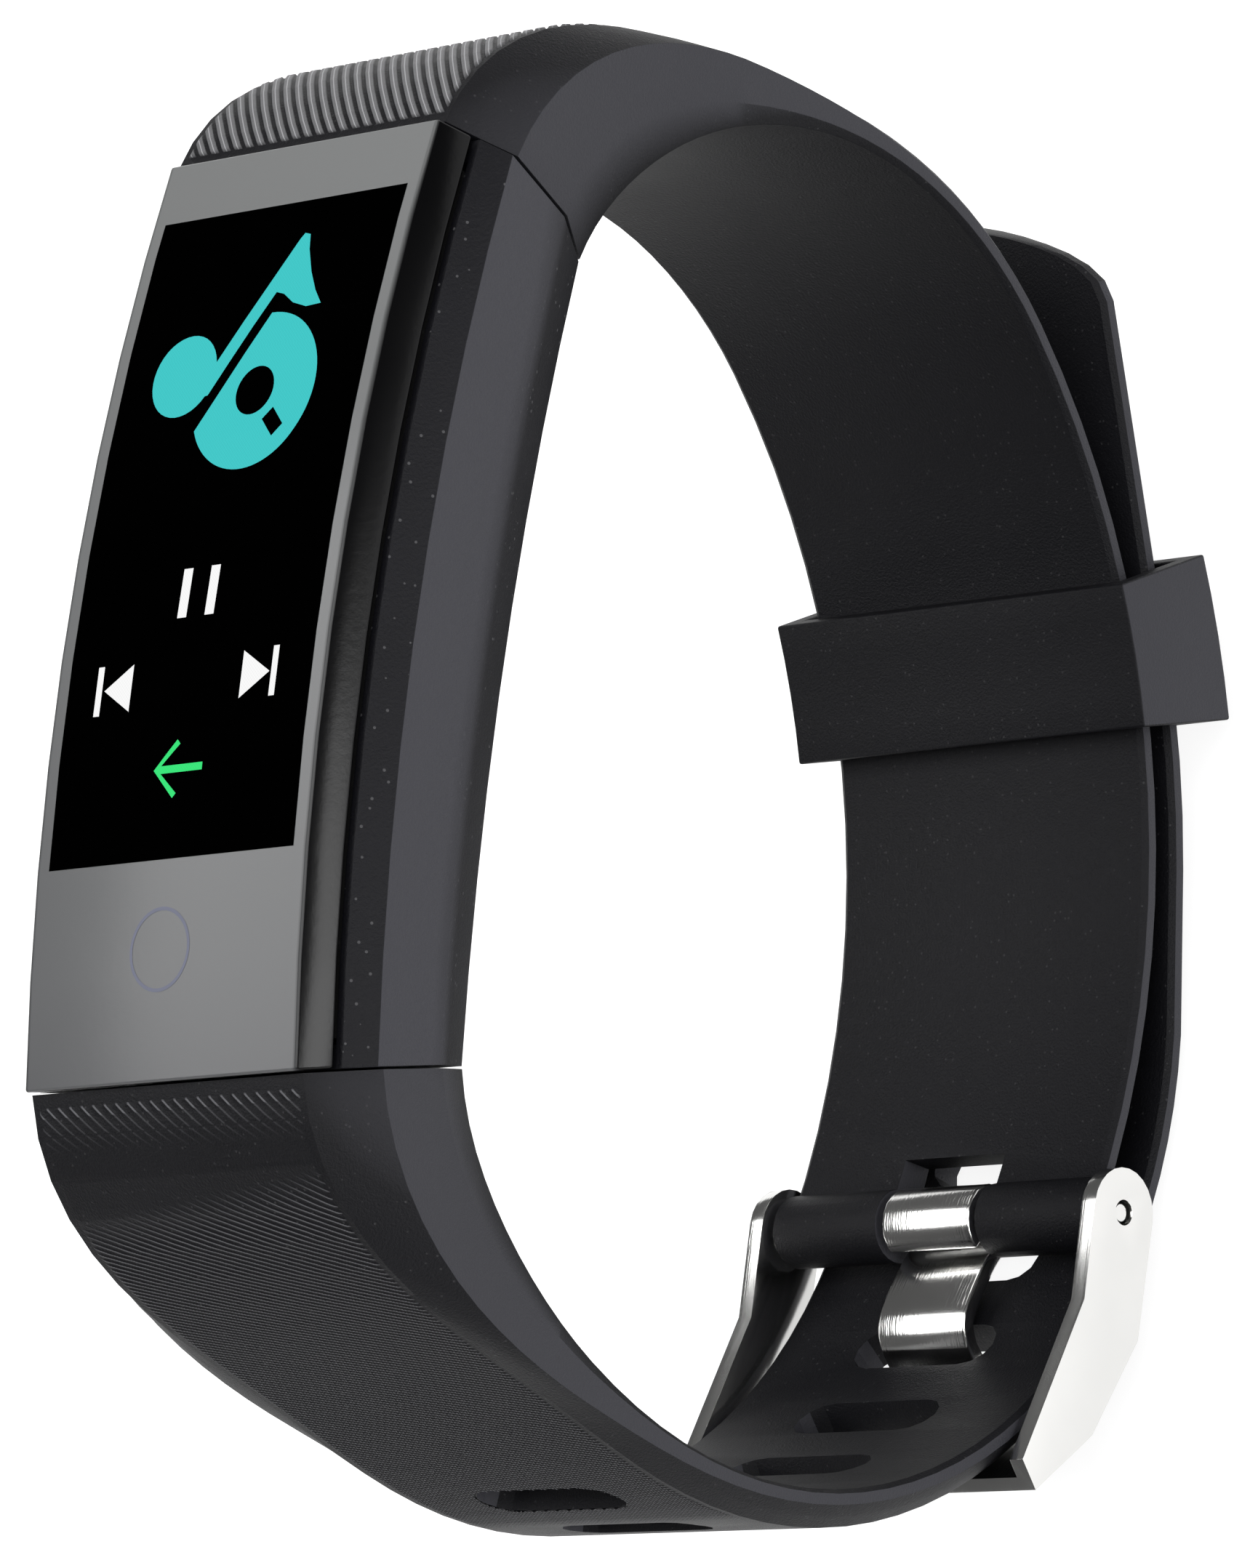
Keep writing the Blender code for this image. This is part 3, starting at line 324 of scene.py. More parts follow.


# %% [markdown]
# Strap rubber is near black and hardly glossy. The facets that face sideways are
# painted a shade greyer, like the case's side facet: painted light for the light they
# catch. The normal's Y picks them out.

# %% Rubber finish
RUBBER_DARK = (0.0030, 0.0030, 0.0040)
RUBBER_LIGHT = (0.0055, 0.0055, 0.0070)
RUBBER_GLOSS = 0.13


def plain_rubber(name):
    """Near-black rubber, before any tone that depends on the place."""
    finish = Finish(name, RUBBER_DARK, RUBBER_LIGHT, 0.50, 0.10, 8000.0, 0.00005, 0.3)
    finish.shader.inputs["Specular IOR Level"].default_value = RUBBER_GLOSS
    return finish


def rubber_finish():
    finish = plain_rubber("black_elastomer")
    tree = finish.tree
    facing = add_node(tree, "ShaderNodeNewGeometry", (-1200, 600))
    parts = add_node(tree, "ShaderNodeSeparateXYZ", (-1000, 600))
    tree.links.new(facing.outputs["Normal"], parts.inputs["Vector"])
    sideways = math_node(tree, "ABSOLUTE", (-820, 600), parts.outputs["Y"])
    side = add_node(tree, "ShaderNodeMapRange", (-620, 600))
    side.inputs["From Min"].default_value = 0.82
    side.inputs["From Max"].default_value = 0.95
    tree.links.new(sideways, side.inputs["Value"])
    # Painted light: sideways facets get a greyer colour for the light they catch.
    grey = add_node(tree, "ShaderNodeMix", (-300, 500), data_type="RGBA")
    grey.inputs["B"].default_value = (0.027, 0.027, 0.032, 1.0)
    tree.links.new(side.outputs["Result"], grey.inputs["Factor"])
    tree.links.new(finish.colour, grey.inputs["A"])
    tree.links.new(grey.outputs["Result"], finish.shader.inputs["Base Color"])
    return finish.material


strap_rubber = rubber_finish()
print("finish:", strap_rubber.name)

# %% [markdown]
# The case is one moulding with three tones. The chamfer by the lens has a coarse
# black texture, the wide side facet is painted a smooth dark grey, and the facet that
# turns in to the wrist is black again. The side facet's grey is painted light, for the
# light it catches. The facets face different ways, so the surface normal's height
# tells them apart.

# %% Case finish
def case_finish():
    finish = Finish(
        "case_moulding",
        (0.003, 0.003, 0.004),
        (0.006, 0.006, 0.008),
        0.48,
        0.08,
        6500.0,
        0.00005,
        0.7,
    )
    tree = finish.tree
    facing = add_node(tree, "ShaderNodeNewGeometry", (-1200, 600))
    parts = add_node(tree, "ShaderNodeSeparateXYZ", (-1000, 600))
    tree.links.new(facing.outputs["Normal"], parts.inputs["Vector"])
    ramp = add_node(tree, "ShaderNodeValToRGB", (-820, 600))
    ramp.color_ramp.interpolation = "LINEAR"
    stops = ramp.color_ramp.elements
    stops[0].position, stops[0].color = 0.30, (0, 0, 0, 1)
    stops[1].position, stops[1].color = 0.36, (1, 1, 1, 1)
    for position, value in ((0.52, 1), (0.60, 0)):
        stop = stops.new(position)
        stop.color = (value, value, value, 1)
    height = math_node(tree, "MULTIPLY_ADD", (-900, 450), parts.outputs["Z"], 0.5)
    height.node.inputs[2].default_value = 0.5
    tree.links.new(height, ramp.inputs["Fac"])
    # Painted light: the side facet, picked by the ramp, gets a lighter grey for the light it
    # catches.
    grey = add_node(tree, "ShaderNodeMix", (-300, 500), data_type="RGBA")
    grey.inputs["B"].default_value = (0.032, 0.032, 0.038, 1.0)
    tree.links.new(ramp.outputs["Color"], grey.inputs["Factor"])
    tree.links.new(finish.colour, grey.inputs["A"])
    tree.links.new(grey.outputs["Result"], finish.shader.inputs["Base Color"])
    finish.shader.inputs["Specular IOR Level"].default_value = 0.12
    return finish.material


case_moulding = case_finish()
print("finish:", case_moulding.name)

# %% [markdown]
# The lens is smoked and hard coated. Its broad face is painted an even cool grey, a
# painted reflection, that is painted brighter towards the buckle strap as painted
# light, and its long bevels are clear black. The edge of the broad face is a fixed
# distance from the middle, so the object's Y splits the two, and X carries the slow
# change.

# %% Lens finish
LENS_FACE_HALF_WIDTH = 8.35 * MM
LENS_GLOSS = 0.18


def lens_finish():
    # The grey tones of the broad face are a painted reflection on the smoked glass.
    finish = Finish(
        "smoked_lens",
        (0.082, 0.083, 0.086),
        (0.090, 0.091, 0.094),
        0.20,
        0.05,
        2500.0,
        0.000004,
        0.0,
    )
    tree = finish.tree
    place = add_node(tree, "ShaderNodeTexCoord", (-1400, 700))
    parts = add_node(tree, "ShaderNodeSeparateXYZ", (-1200, 700))
    tree.links.new(place.outputs["Object"], parts.inputs["Vector"])
    across = math_node(tree, "ABSOLUTE", (-1000, 800), parts.outputs["Y"])
    bevel = add_node(tree, "ShaderNodeMapRange", (-800, 800))
    bevel.inputs["From Min"].default_value = LENS_FACE_HALF_WIDTH - 0.22 * MM
    bevel.inputs["From Max"].default_value = LENS_FACE_HALF_WIDTH + 0.05 * MM
    tree.links.new(across, bevel.inputs["Value"])
    along = add_node(tree, "ShaderNodeMapRange", (-800, 550))
    along.inputs["From Min"].default_value = -21.5 * MM
    along.inputs["From Max"].default_value = 21.5 * MM
    tree.links.new(parts.outputs["X"], along.inputs["Value"])
    # Painted light: the face is painted brighter towards the buckle strap.
    bright = add_node(tree, "ShaderNodeMix", (-500, 650), data_type="RGBA")
    bright.inputs["B"].default_value = (0.145, 0.148, 0.148, 1.0)
    tree.links.new(along.outputs["Result"], bright.inputs["Factor"])
    tree.links.new(finish.colour, bright.inputs["A"])
    black = add_node(tree, "ShaderNodeMix", (-300, 650), data_type="RGBA")
    black.inputs["B"].default_value = (0.001, 0.001, 0.0012, 1.0)
    tree.links.new(bevel.outputs["Result"], black.inputs["Factor"])
    tree.links.new(bright.outputs["Result"], black.inputs["A"])
    tree.links.new(black.outputs["Result"], finish.shader.inputs["Base Color"])
    finish.shader.inputs["Specular IOR Level"].default_value = LENS_GLOSS
    return finish.material


smoked_lens = lens_finish()
print("finish:", smoked_lens.name)

# %% [markdown]
# Polished steel is mostly reflection. What makes it real is the fine brushing that
# polishing leaves along the sheet, small dents, and a slightly warm tone.

# %% Metal finishes
def metal_finish(name, dark, light, roughness, spread, bump):
    finish = Finish(name, dark, light, roughness, spread, 3000.0, bump, 0.0)
    finish.shader.inputs["Metallic"].default_value = 1.0
    tree = finish.tree
    place = add_node(tree, "ShaderNodeTexCoord", (-1500, -500))
    stretch = add_node(tree, "ShaderNodeMapping", (-1300, -500))
    stretch.inputs["Scale"].default_value = (400.0, 9000.0, 400.0)
    brushed = add_node(tree, "ShaderNodeTexNoise", (-1100, -500))
    brushed.inputs["Scale"].default_value = 1.0
    brushed.inputs["Detail"].default_value = 2.0
    tree.links.new(place.outputs["Object"], stretch.inputs["Vector"])
    tree.links.new(stretch.outputs["Vector"], brushed.inputs["Vector"])
    relief = next(node for node in tree.nodes if node.type == "BUMP")
    tree.links.new(brushed.outputs["Fac"], relief.inputs["Height"])
    return finish.material


polished_steel = metal_finish(
    "polished_steel", (0.66, 0.658, 0.645), (0.78, 0.775, 0.76), 0.16, 0.12, 0.000012
)
bright_steel = metal_finish(
    "bright_steel", (0.50, 0.50, 0.50), (0.66, 0.66, 0.66), 0.28, 0.12, 0.000010
)
dense_metal = metal_finish(
    "sintered_weight", (0.28, 0.27, 0.26), (0.40, 0.39, 0.37), 0.45, 0.15, 0.000020
)
gold_plate = metal_finish(
    "gold_plate", (0.78, 0.52, 0.17), (0.92, 0.68, 0.28), 0.22, 0.10, 0.000010
)
copper_foil = metal_finish(
    "copper_foil", (0.60, 0.30, 0.14), (0.80, 0.44, 0.22), 0.35, 0.12, 0.000010
)
cell_foil = metal_finish(
    "cell_foil", (0.48, 0.49, 0.50), (0.64, 0.65, 0.66), 0.32, 0.20, 0.000030
)
print("metals ready")

# %% Finishes of the inner parts
# Each: dark tone, light tone,
# roughness, its spread, grain scale, bump height, specks.
INNER = {
    "seal_rubber": (
        (0.008, 0.008, 0.008), (0.016, 0.016, 0.016),
        0.75, 0.10, 5000.0, 0.00004, 0.2,
    ),
    "optical_adhesive": (
        (0.62, 0.65, 0.68), (0.72, 0.74, 0.76),
        0.12, 0.04, 2000.0, 0.000004, 0.0,
    ),
    "display_glass": (
        (0.004, 0.004, 0.006), (0.010, 0.010, 0.014),
        0.14, 0.04, 2000.0, 0.000004, 0.0,
    ),
    "flex_film": (
        (0.30, 0.13, 0.03), (0.44, 0.20, 0.06),
        0.42, 0.12, 4000.0, 0.00002, 0.2,
    ),
    "green_emitter": (
        (0.12, 0.55, 0.20), (0.22, 0.80, 0.34),
        0.25, 0.06, 3000.0, 0.00001, 0.2,
    ),
    "diode_glass": (
        (0.02, 0.02, 0.05), (0.05, 0.05, 0.10),
        0.18, 0.06, 3000.0, 0.00001, 0.1,
    ),
    "open_foam": (
        (0.02, 0.02, 0.02), (0.05, 0.05, 0.05),
        0.92, 0.06, 2600.0, 0.00012, 0.6,
    ),
    "solder_mask": (
        (0.005, 0.060, 0.025), (0.012, 0.110, 0.045),
        0.38, 0.15, 5000.0, 0.00002, 0.5,
    ),
    "chip_epoxy": (
        (0.010, 0.010, 0.011), (0.022, 0.022, 0.024),
        0.55, 0.12, 9000.0, 0.00003, 0.5,
    ),
    "smoked_window": (
        (0.004, 0.004, 0.005), (0.010, 0.009, 0.014),
        0.10, 0.05, 2000.0, 0.000004, 0.0,
    ),
    "cover_plastic": (
        (0.010, 0.010, 0.012), (0.020, 0.020, 0.023),
        0.50, 0.10, 6500.0, 0.00004, 0.4,
    ),
}
inner_finish = {name: Finish(name, *values).material for name, values in INNER.items()}
print("inner finishes:", len(inner_finish))

# %% [markdown]
# The nodes of the frame that show little keep their shape and only get a finish.

# %% Finish the frame's own nodes
NODE_FINISH = {
    "lens_gasket": inner_finish["seal_rubber"],
    "light_baffle": inner_finish["seal_rubber"],
    "optical_bond": inner_finish["optical_adhesive"],
    "display_panel": inner_finish["display_glass"],
    "display_flex": inner_finish["flex_film"],
    "touch_pad": copper_foil,
    "sensor_led_near": inner_finish["green_emitter"],
    "sensor_led_far": inner_finish["green_emitter"],
    "photodiode": inner_finish["diode_glass"],
    "sensor_window": inner_finish["smoked_window"],
    "back_cover": inner_finish["cover_plastic"],
    "battery": cell_foil,
    "battery_foam": inner_finish["open_foam"],
    "main_board": inner_finish["solder_mask"],
    "radio_chip": inner_finish["chip_epoxy"],
    "motion_chip": inner_finish["chip_epoxy"],
    "motor_can": bright_steel,
    "motor_base": bright_steel,
    "motor_weight": dense_metal,
    "charging_tongue": inner_finish["cover_plastic"],
    "spring_bar_tube": bright_steel,
    "bar_tip_near": polished_steel,
    "bar_tip_far": polished_steel,
    "bar_spring": bright_steel,
}
for number in range(1, 5):
    NODE_FINISH[f"charging_contact_{number}"] = gold_plate
for name, finish in NODE_FINISH.items():
    mesh = frame["nodes"][name].data
    mesh.materials.clear()
    mesh.materials.append(finish)
print("nodes with a finish:", len(NODE_FINISH))

# %% [markdown]
# The outer mouldings and the buckle are seen close up, and no moulding or pressing
# has a knife edge. Each is rebuilt from a copy of its solid: the loose triangles are
# merged, flat areas are joined into whole faces, and a small bevel rounds every
# edge that turns by more than a given angle. Modelling each from a primitive would
# only repeat the solid's own outline, and might miss its bores and sockets.

# %% Rounded copies of the solids
def select_only(piece):
    bpy.ops.object.select_all(action="DESELECT")
    piece.select_set(True)
    bpy.context.view_layer.objects.active = piece


def rounded_copy(node, name, body, finish, radius, least_angle=24.0, segments=3):
    """A finished piece in place of a node, with its edges rounded."""
    select_only(frame["nodes"][node])
    bpy.ops.object.duplicate()
    piece = bpy.context.object
    piece.parent = None
    for key in list(piece.keys()):
        del piece[key]
    piece.name = name
    piece.data.name = name
    bpy.ops.object.mode_set(mode="EDIT")
    bpy.ops.mesh.select_all(action="SELECT")
    bpy.ops.mesh.remove_doubles(threshold=0.000002)
    bpy.ops.mesh.dissolve_limited(angle_limit=math.radians(0.6))
    bpy.ops.object.mode_set(mode="OBJECT")
    if radius > 0:
        bevel = piece.modifiers.new("moulded_edge", "BEVEL")
        bevel.width = radius
        bevel.segments = segments
        bevel.limit_method = "ANGLE"
        bevel.angle_limit = math.radians(least_angle)
        bevel.use_clamp_overlap = True
        bevel.harden_normals = False
        bpy.ops.object.modifier_apply(modifier=bevel.name)
    bpy.ops.object.shade_smooth_by_angle(angle=math.radians(28.0))
    piece.data.materials.clear()
    piece.data.materials.append(finish)
    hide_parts(node)
    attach(piece, body)
    piece.select_set(False)
    print(name, len(piece.data.polygons), "faces")
    return piece


buckle_strap = rounded_copy(
    "buckle_strap", "buckle_strap_moulding", "band", strap_rubber, 0.16 * MM
)
hole_strap = rounded_copy(
    "hole_strap", "hole_strap_moulding", "band", strap_rubber, 0.16 * MM
)
rounded_copy(
    "keeper_loop", "keeper_moulding", "keeper", strap_rubber, 0.12 * MM
)
rounded_copy("mid_case", "case_shell", "band", case_moulding, 0.10 * MM)
lens = rounded_copy("front_lens", "lens_glass", "band", smoked_lens, 0.14 * MM)
rounded_copy(
    "buckle_frame", "buckle_pressing", "buckle", polished_steel, 0.22 * MM
)
rounded_copy(
    "buckle_tongue",
    "prong_pressing",
    "prong",
    polished_steel,
    0.14 * MM,
    least_angle=40.0,
)

# %% [markdown]
# The spring in the spring bar shortens when a tip is pressed in. It is cut at its
# middle into a near and a far half, each with its cut end closed.

# %% Spring of the spring bar
def half_spring(name, side):
    select_only(frame["nodes"]["bar_spring"])
    bpy.ops.object.duplicate()
    piece = bpy.context.object
    bpy.ops.object.parent_clear(type="CLEAR_KEEP_TRANSFORM")
    bpy.ops.object.transform_apply(location=True, rotation=True, scale=True)
    for key in list(piece.keys()):
        del piece[key]
    piece.name = name
    low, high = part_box("bar_spring")
    middle = Vector(((low[0] + high[0]) / 2, 0.0, (low[2] + high[2]) / 2))
    bpy.ops.object.mode_set(mode="EDIT")
    bpy.ops.mesh.select_all(action="SELECT")
    bpy.ops.mesh.remove_doubles(threshold=0.000002)
    bpy.ops.mesh.bisect(
        plane_co=middle, plane_no=(0.0, side, 0.0), use_fill=True, clear_inner=True
    )
    bpy.ops.object.mode_set(mode="OBJECT")
    bpy.ops.object.shade_smooth_by_angle(angle=math.radians(50.0))
    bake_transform(piece)
    piece.select_set(False)
    print(name, len(piece.data.polygons), "faces")
    return piece


near_spring = half_spring("near_half_spring", -1)
far_spring = half_spring("far_half_spring", 1)
for half in (near_spring, far_spring):
    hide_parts("bar_spring")

# %% [markdown]
# Close ribs run diagonally over the outer face of both straps. On the buckle strap
# they are broad and flat, each with a thin line down its middle. On the hole strap
# they are fine and start after a smooth patch, and a row of small teeth marks the
# seam. A formula draws them on a grid that is laid on the strap, and the grid is
# left open over the slots. The strap's outer profile is found by looking in at it
# from outside, ray by ray. The grid also carries the rib's phase, from which the
# finish paints the rib tops paler and the middle lines bright: these are painted
# highlights for the light the ribs catch.

# %% Outer profile of a strap
LOOP_MIDDLE = Vector((0.0, 0.0, -16.0 * MM))
LENS_END_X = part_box("front_lens")[1][0]
PROFILE_Y = 7.5 * MM


def outer_profile(tree, side, to_angle, rays=170):
    """Points along a strap's outer face, beside its slots, from the module on.

    Angles are about the loop's middle, from straight up, towards this side.
    """
    reach = 0.2
    points = []
    for i in range(rays + 1):
        angle = math.radians(36.0 + (to_angle - 36.0) * i / rays)
        out = Vector((side * math.sin(angle), 0.0, math.cos(angle)))
        start = LOOP_MIDDLE + reach * out + Vector((0.0, PROFILE_Y, 0.0))
        hit = tree.ray_cast(start, -out, reach)[0]
        if hit is not None and side * hit.x > LENS_END_X + 0.25 * MM:
            points.append(Vector((hit.x, hit.z)))
    return points


def walk(points):
    """Distances along a line of points."""
    distances = [0.0]
    for a, b in zip(points, points[1:]):
        distances.append(distances[-1] + (b - a).length)
    return distances


def at_distance(points, distances, distance):
    """Point and direction at a distance along a line of points."""
    index = 1
    while index < len(points) - 1 and distances[index] < distance:
        index += 1
    a, b = points[index - 1], points[index]
    share = (distance - distances[index - 1]) / (distances[index] - distances[index - 1])
    low, high = max(0, index - 4), min(len(points) - 1, index + 3)
    return a.lerp(b, share), (points[high] - points[low]).normalized()


# %% Rib patterns
RIB_FACE_HALF_WIDTH = 8.1 * MM
RIB_SINK = 0.04 * MM


def buckle_rib(distance, y):
    """Broad flat ridge over two thirds of each turn, and how strong it is."""
    phase = (y - 0.84 * distance) / (0.74 * MM)
    place = abs((phase % 1.0) - 0.5)
    return min(1.0, max(0.0, (0.38 - place) / 0.08)), phase, 1.0


TEETH_END = 0.5 * MM
TRAILS_END = 2.2 * MM
SMOOTH_END = 3.6 * MM


def hole_rib(distance, y):
    """Thin crest in each turn. Ribs cross the strap more squarely further on."""
    curl = 8.0 * MM
    lead = 2.8 * distance - 1.8 * curl * (1.0 - math.exp(-distance / curl))
    phase = (y + lead) / (0.72 * MM)
    if distance < TEETH_END:
        strength = 0.8
    elif distance < TRAILS_END:
        strength = 0.3 * (TRAILS_END - distance) / (TRAILS_END - TEETH_END)
    else:
        start = SMOOTH_END + 0.12 * (y + RIB_FACE_HALF_WIDTH)
        strength = min(1.0, max(0.0, (distance - start) / (2.0 * MM)))
    place = abs((phase % 1.0) - 0.5)
    return strength * max(0.0, 1.0 - place / 0.26), phase, strength


# %% Ribbed faces
def edge_strength(distance, y, length):
    """Ribs fade at the sides of the face and at both ends."""
    side = (RIB_FACE_HALF_WIDTH - abs(y)) / (0.25 * MM)
    return max(0.0, min(side, distance / (0.12 * MM), (length - distance) / (4.0 * MM), 1.0))


def add_ribs(name, strap, side, pattern, height, length, steps, finish):
    tree = BVHTree.FromObject(strap, bpy.context.evaluated_depsgraph_get())
    profile = outer_profile(tree, side, 172.0)
    distances = walk(profile)
    along_steps, across_steps = steps
    bpy.ops.object.select_all(action="DESELECT")
    bpy.ops.mesh.primitive_grid_add(
        x_subdivisions=along_steps, y_subdivisions=across_steps, size=2.0
    )
    ribs = bpy.context.object
    ribs.name = name
    phases = ribs.data.attributes.new("rib_phase", "FLOAT", "POINT")
    strengths = ribs.data.attributes.new("rib_strength", "FLOAT", "POINT")
    places = {}
    over_slot = []
    for vertex in ribs.data.vertices:
        step = round((vertex.co.x + 1) / 2 * along_steps)
        if step not in places:
            distance = length * step / along_steps
            places[step] = (distance, *at_distance(profile, distances, distance))
        distance, point, along = places[step]
        flat = Vector((-along.y, along.x)) * side
        normal = Vector((flat.x, 0.0, flat.y))
        y = vertex.co.y * RIB_FACE_HALF_WIDTH
        edge = edge_strength(distance, y, length)
        top, phase, strength = pattern(distance, y)
        phases.data[vertex.index].value = phase
        strengths.data[vertex.index].value = edge * strength
        base = Vector((point.x, y, point.y))
        hit = tree.ray_cast(base + 0.4 * MM * normal, -normal, 0.55 * MM)[0]
        if hit is None:
            over_slot.append(vertex.index)
        lift = height * top * edge + RIB_SINK * (edge - 1.0) + 0.012 * MM
        vertex.co = base + lift * normal
    bpy.ops.object.mode_set(mode="EDIT")
    bpy.ops.mesh.select_all(action="DESELECT")
    bpy.ops.object.mode_set(mode="OBJECT")
    for index in over_slot:
        ribs.data.vertices[index].select = True
    bpy.ops.object.mode_set(mode="EDIT")
    bpy.ops.mesh.delete(type="VERT")
    bpy.ops.object.mode_set(mode="OBJECT")
    middle = ribs.data.polygons[len(ribs.data.polygons) // 3]
    if middle.normal.dot(middle.center - LOOP_MIDDLE) < 0:
        ribs.data.flip_normals()
    select_only(ribs)
    bpy.ops.object.shade_smooth()
    ribs.data.materials.append(finish)
    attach(ribs, "band")
    ribs.select_set(False)
    print(name, len(ribs.data.polygons), "faces,", len(over_slot), "points over slots")
    return ribs


# %% Ribbed rubber
def make_rib_lines():
    """Where a rib's top is within each turn of the phase, between two widths."""
    group, source, result = new_group(
        "rib_lines",
        (
            ("Edge", "NodeSocketFloat", 0.3),
            ("Softness", "NodeSocketFloat", 0.05),
            ("Line", "NodeSocketFloat", 0.05),
        ),
        (("Top", "NodeSocketFloat"), ("Middle", "NodeSocketFloat")),
    )
    phase = add_node(group, "ShaderNodeAttribute", (-700, 300), attribute_name="rib_phase")
    strength = add_node(
        group, "ShaderNodeAttribute", (-700, -300), attribute_name="rib_strength"
    )
    turn = math_node(group, "FRACT", (-500, 300), phase.outputs["Fac"])
    centred = math_node(group, "SUBTRACT", (-350, 300), turn, 0.5)
    away = math_node(group, "ABSOLUTE", (-200, 300), centred)
    inside = math_node(group, "SUBTRACT", (-50, 300), source.outputs["Edge"], away)
    soft = math_node(group, "DIVIDE", (100, 300), inside, source.outputs["Softness"])
    soft.node.use_clamp = True
    top = math_node(group, "MULTIPLY", (300, 200), soft, strength.outputs["Fac"])
    thin = math_node(group, "LESS_THAN", (100, 0), away, source.outputs["Line"])
    line = math_node(group, "MULTIPLY", (300, 0), thin, strength.outputs["Fac"])
    group.links.new(top, result.inputs["Top"])
    group.links.new(line, result.inputs["Middle"])
    return group


rib_lines = make_rib_lines()


def ribbed_finish(name, edge, softness, line, painted_top_highlight, middle):
    """The strap's rubber, with painted highlights: rib tops painted paler, a bright middle
    line.
    """
    finish = plain_rubber(name)
    tree = finish.tree
    lines = add_node(tree, "ShaderNodeGroup", (-900, 600), node_tree=rib_lines)
    lines.inputs["Edge"].default_value = edge
    lines.inputs["Softness"].default_value = softness
    lines.inputs["Line"].default_value = line
    # Painted highlight: rib tops are painted paler for the light they catch.
    paler = add_node(tree, "ShaderNodeMix", (-400, 600), data_type="RGBA")
    paler.inputs["B"].default_value = (*painted_top_highlight, 1.0)
    tree.links.new(lines.outputs["Top"], paler.inputs["Factor"])
    tree.links.new(finish.colour, paler.inputs["A"])
    # Painted highlight: a bright line down each rib's middle.
    centre = add_node(tree, "ShaderNodeMix", (-200, 600), data_type="RGBA")
    centre.inputs["B"].default_value = (*middle, 1.0)
    tree.links.new(lines.outputs["Middle"], centre.inputs["Factor"])
    tree.links.new(paler.outputs["Result"], centre.inputs["A"])
    tree.links.new(centre.outputs["Result"], finish.shader.inputs["Base Color"])
    return finish.material


# The paler rib tops and bright middle lines of these finishes are painted highlights.
add_ribs(
    "buckle_strap_ribs", buckle_strap, 1, buckle_rib, 0.10 * MM, 18.0 * MM, (220, 300),
    ribbed_finish(
        "ribbed_rubber_pale", 0.34, 0.05, 0.045, (0.100, 0.100, 0.104), (0.26, 0.26, 0.27)
    ),
)
add_ribs(
    "hole_strap_ribs", hole_strap, -1, hole_rib, 0.07 * MM, 36.0 * MM, (600, 150),
    ribbed_finish(
        "ribbed_rubber_dark", 0.16, 0.08, 0.095, (0.012, 0.012, 0.014), (0.110, 0.110, 0.118)
    ),
)

# %% [markdown]
# The screen is a black field under the lens, with a few lit signs: a music note
# over a record, pause, previous, next, and an arrow that leads back. They are drawn
# as flat curves, turned into meshes, and laid on the bowed lens by a ray from above.

# %% Lay flat drawings on the lens
lens_tree = BVHTree.FromObject(lens, bpy.context.evaluated_depsgraph_get())


def lay_on_lens(piece, lift):
    """Drop every point of a flat drawing on the lens, a little above it."""
    for vertex in piece.data.vertices:
        start = Vector((vertex.co.x, vertex.co.y, 0.05))
        hit = lens_tree.ray_cast(start, Vector((0.0, 0.0, -1.0)))[0]
        vertex.co.z = hit.z + lift


def glow_finish(name, colour, strength):
    """A lit sign: even colour with the screen's fine dot pattern over it."""
    material = bpy.data.materials.new(name)
    material.use_nodes = True
    tree = material.node_tree
    shader = tree.nodes["Principled BSDF"]
    place = add_node(tree, "ShaderNodeTexCoord", (-900, 0))
    dots = add_node(tree, "ShaderNodeTexChecker", (-700, 0))
    dots.inputs["Scale"].default_value = 12000.0
    dots.inputs["Color1"].default_value = (*colour, 1.0)
    dots.inputs["Color2"].default_value = (*[0.94 * channel for channel in colour], 1.0)
    tree.links.new(place.outputs["Object"], dots.inputs["Vector"])
    tree.links.new(dots.outputs["Color"], shader.inputs["Emission Color"])
    shader.inputs["Emission Strength"].default_value = strength
    shader.inputs["Base Color"].default_value = (0.0, 0.0, 0.0, 1.0)
    shader.inputs["Roughness"].default_value = 0.6
    shader.inputs["Specular IOR Level"].default_value = 0.1
    return material


def flat_sign(name, outlines, finish, lift):
    """A filled drawing from closed outlines, in millimetres; inner ones are holes.

    In the picture, up is +X and right is -Y, so a sign's (right, up) turns so.
    """
    data = bpy.data.curves.new(name, "CURVE")
    data.dimensions = "2D"
    data.fill_mode = "BOTH"
    for outline in outlines:
        spline = data.splines.new("POLY")
        spline.points.add(len(outline) - 1)
        for point, (right, up) in zip(spline.points, outline):
            point.co = (up * MM, -right * MM, 0.0, 1.0)
        spline.use_cyclic_u = True
    sign = bpy.data.objects.new(name, data)
    bpy.context.scene.collection.objects.link(sign)
    select_only(sign)
    bpy.ops.object.convert(target="MESH")
    sign = bpy.context.object
    bpy.ops.object.mode_set(mode="EDIT")
    bpy.ops.mesh.select_all(action="SELECT")
    bpy.ops.mesh.remove_doubles(threshold=0.000001)
    bpy.ops.mesh.quads_convert_to_tris()
    bpy.ops.mesh.subdivide(number_cuts=2)
    bpy.ops.object.mode_set(mode="OBJECT")
    lay_on_lens(sign, lift)
    if sum(face.normal.z * face.area for face in sign.data.polygons) < 0:
        sign.data.flip_normals()
    sign.data.materials.clear()
    sign.data.materials.append(finish)
    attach(sign, "band")
    sign.select_set(False)
    print(name, len(sign.data.polygons), "faces")
    return sign


def ring_points(centre, radius, start=0.0, turn=360.0, count=40):
    """Points round a circle or an arc, in degrees from the right."""
    steps = count if turn == 360.0 else count - 1
    return [
        (
            centre[0] + radius * math.cos(math.radians(start + turn * i / steps)),
            centre[1] + radius * math.sin(math.radians(start + turn * i / steps)),
        )
        for i in range(count)
    ]


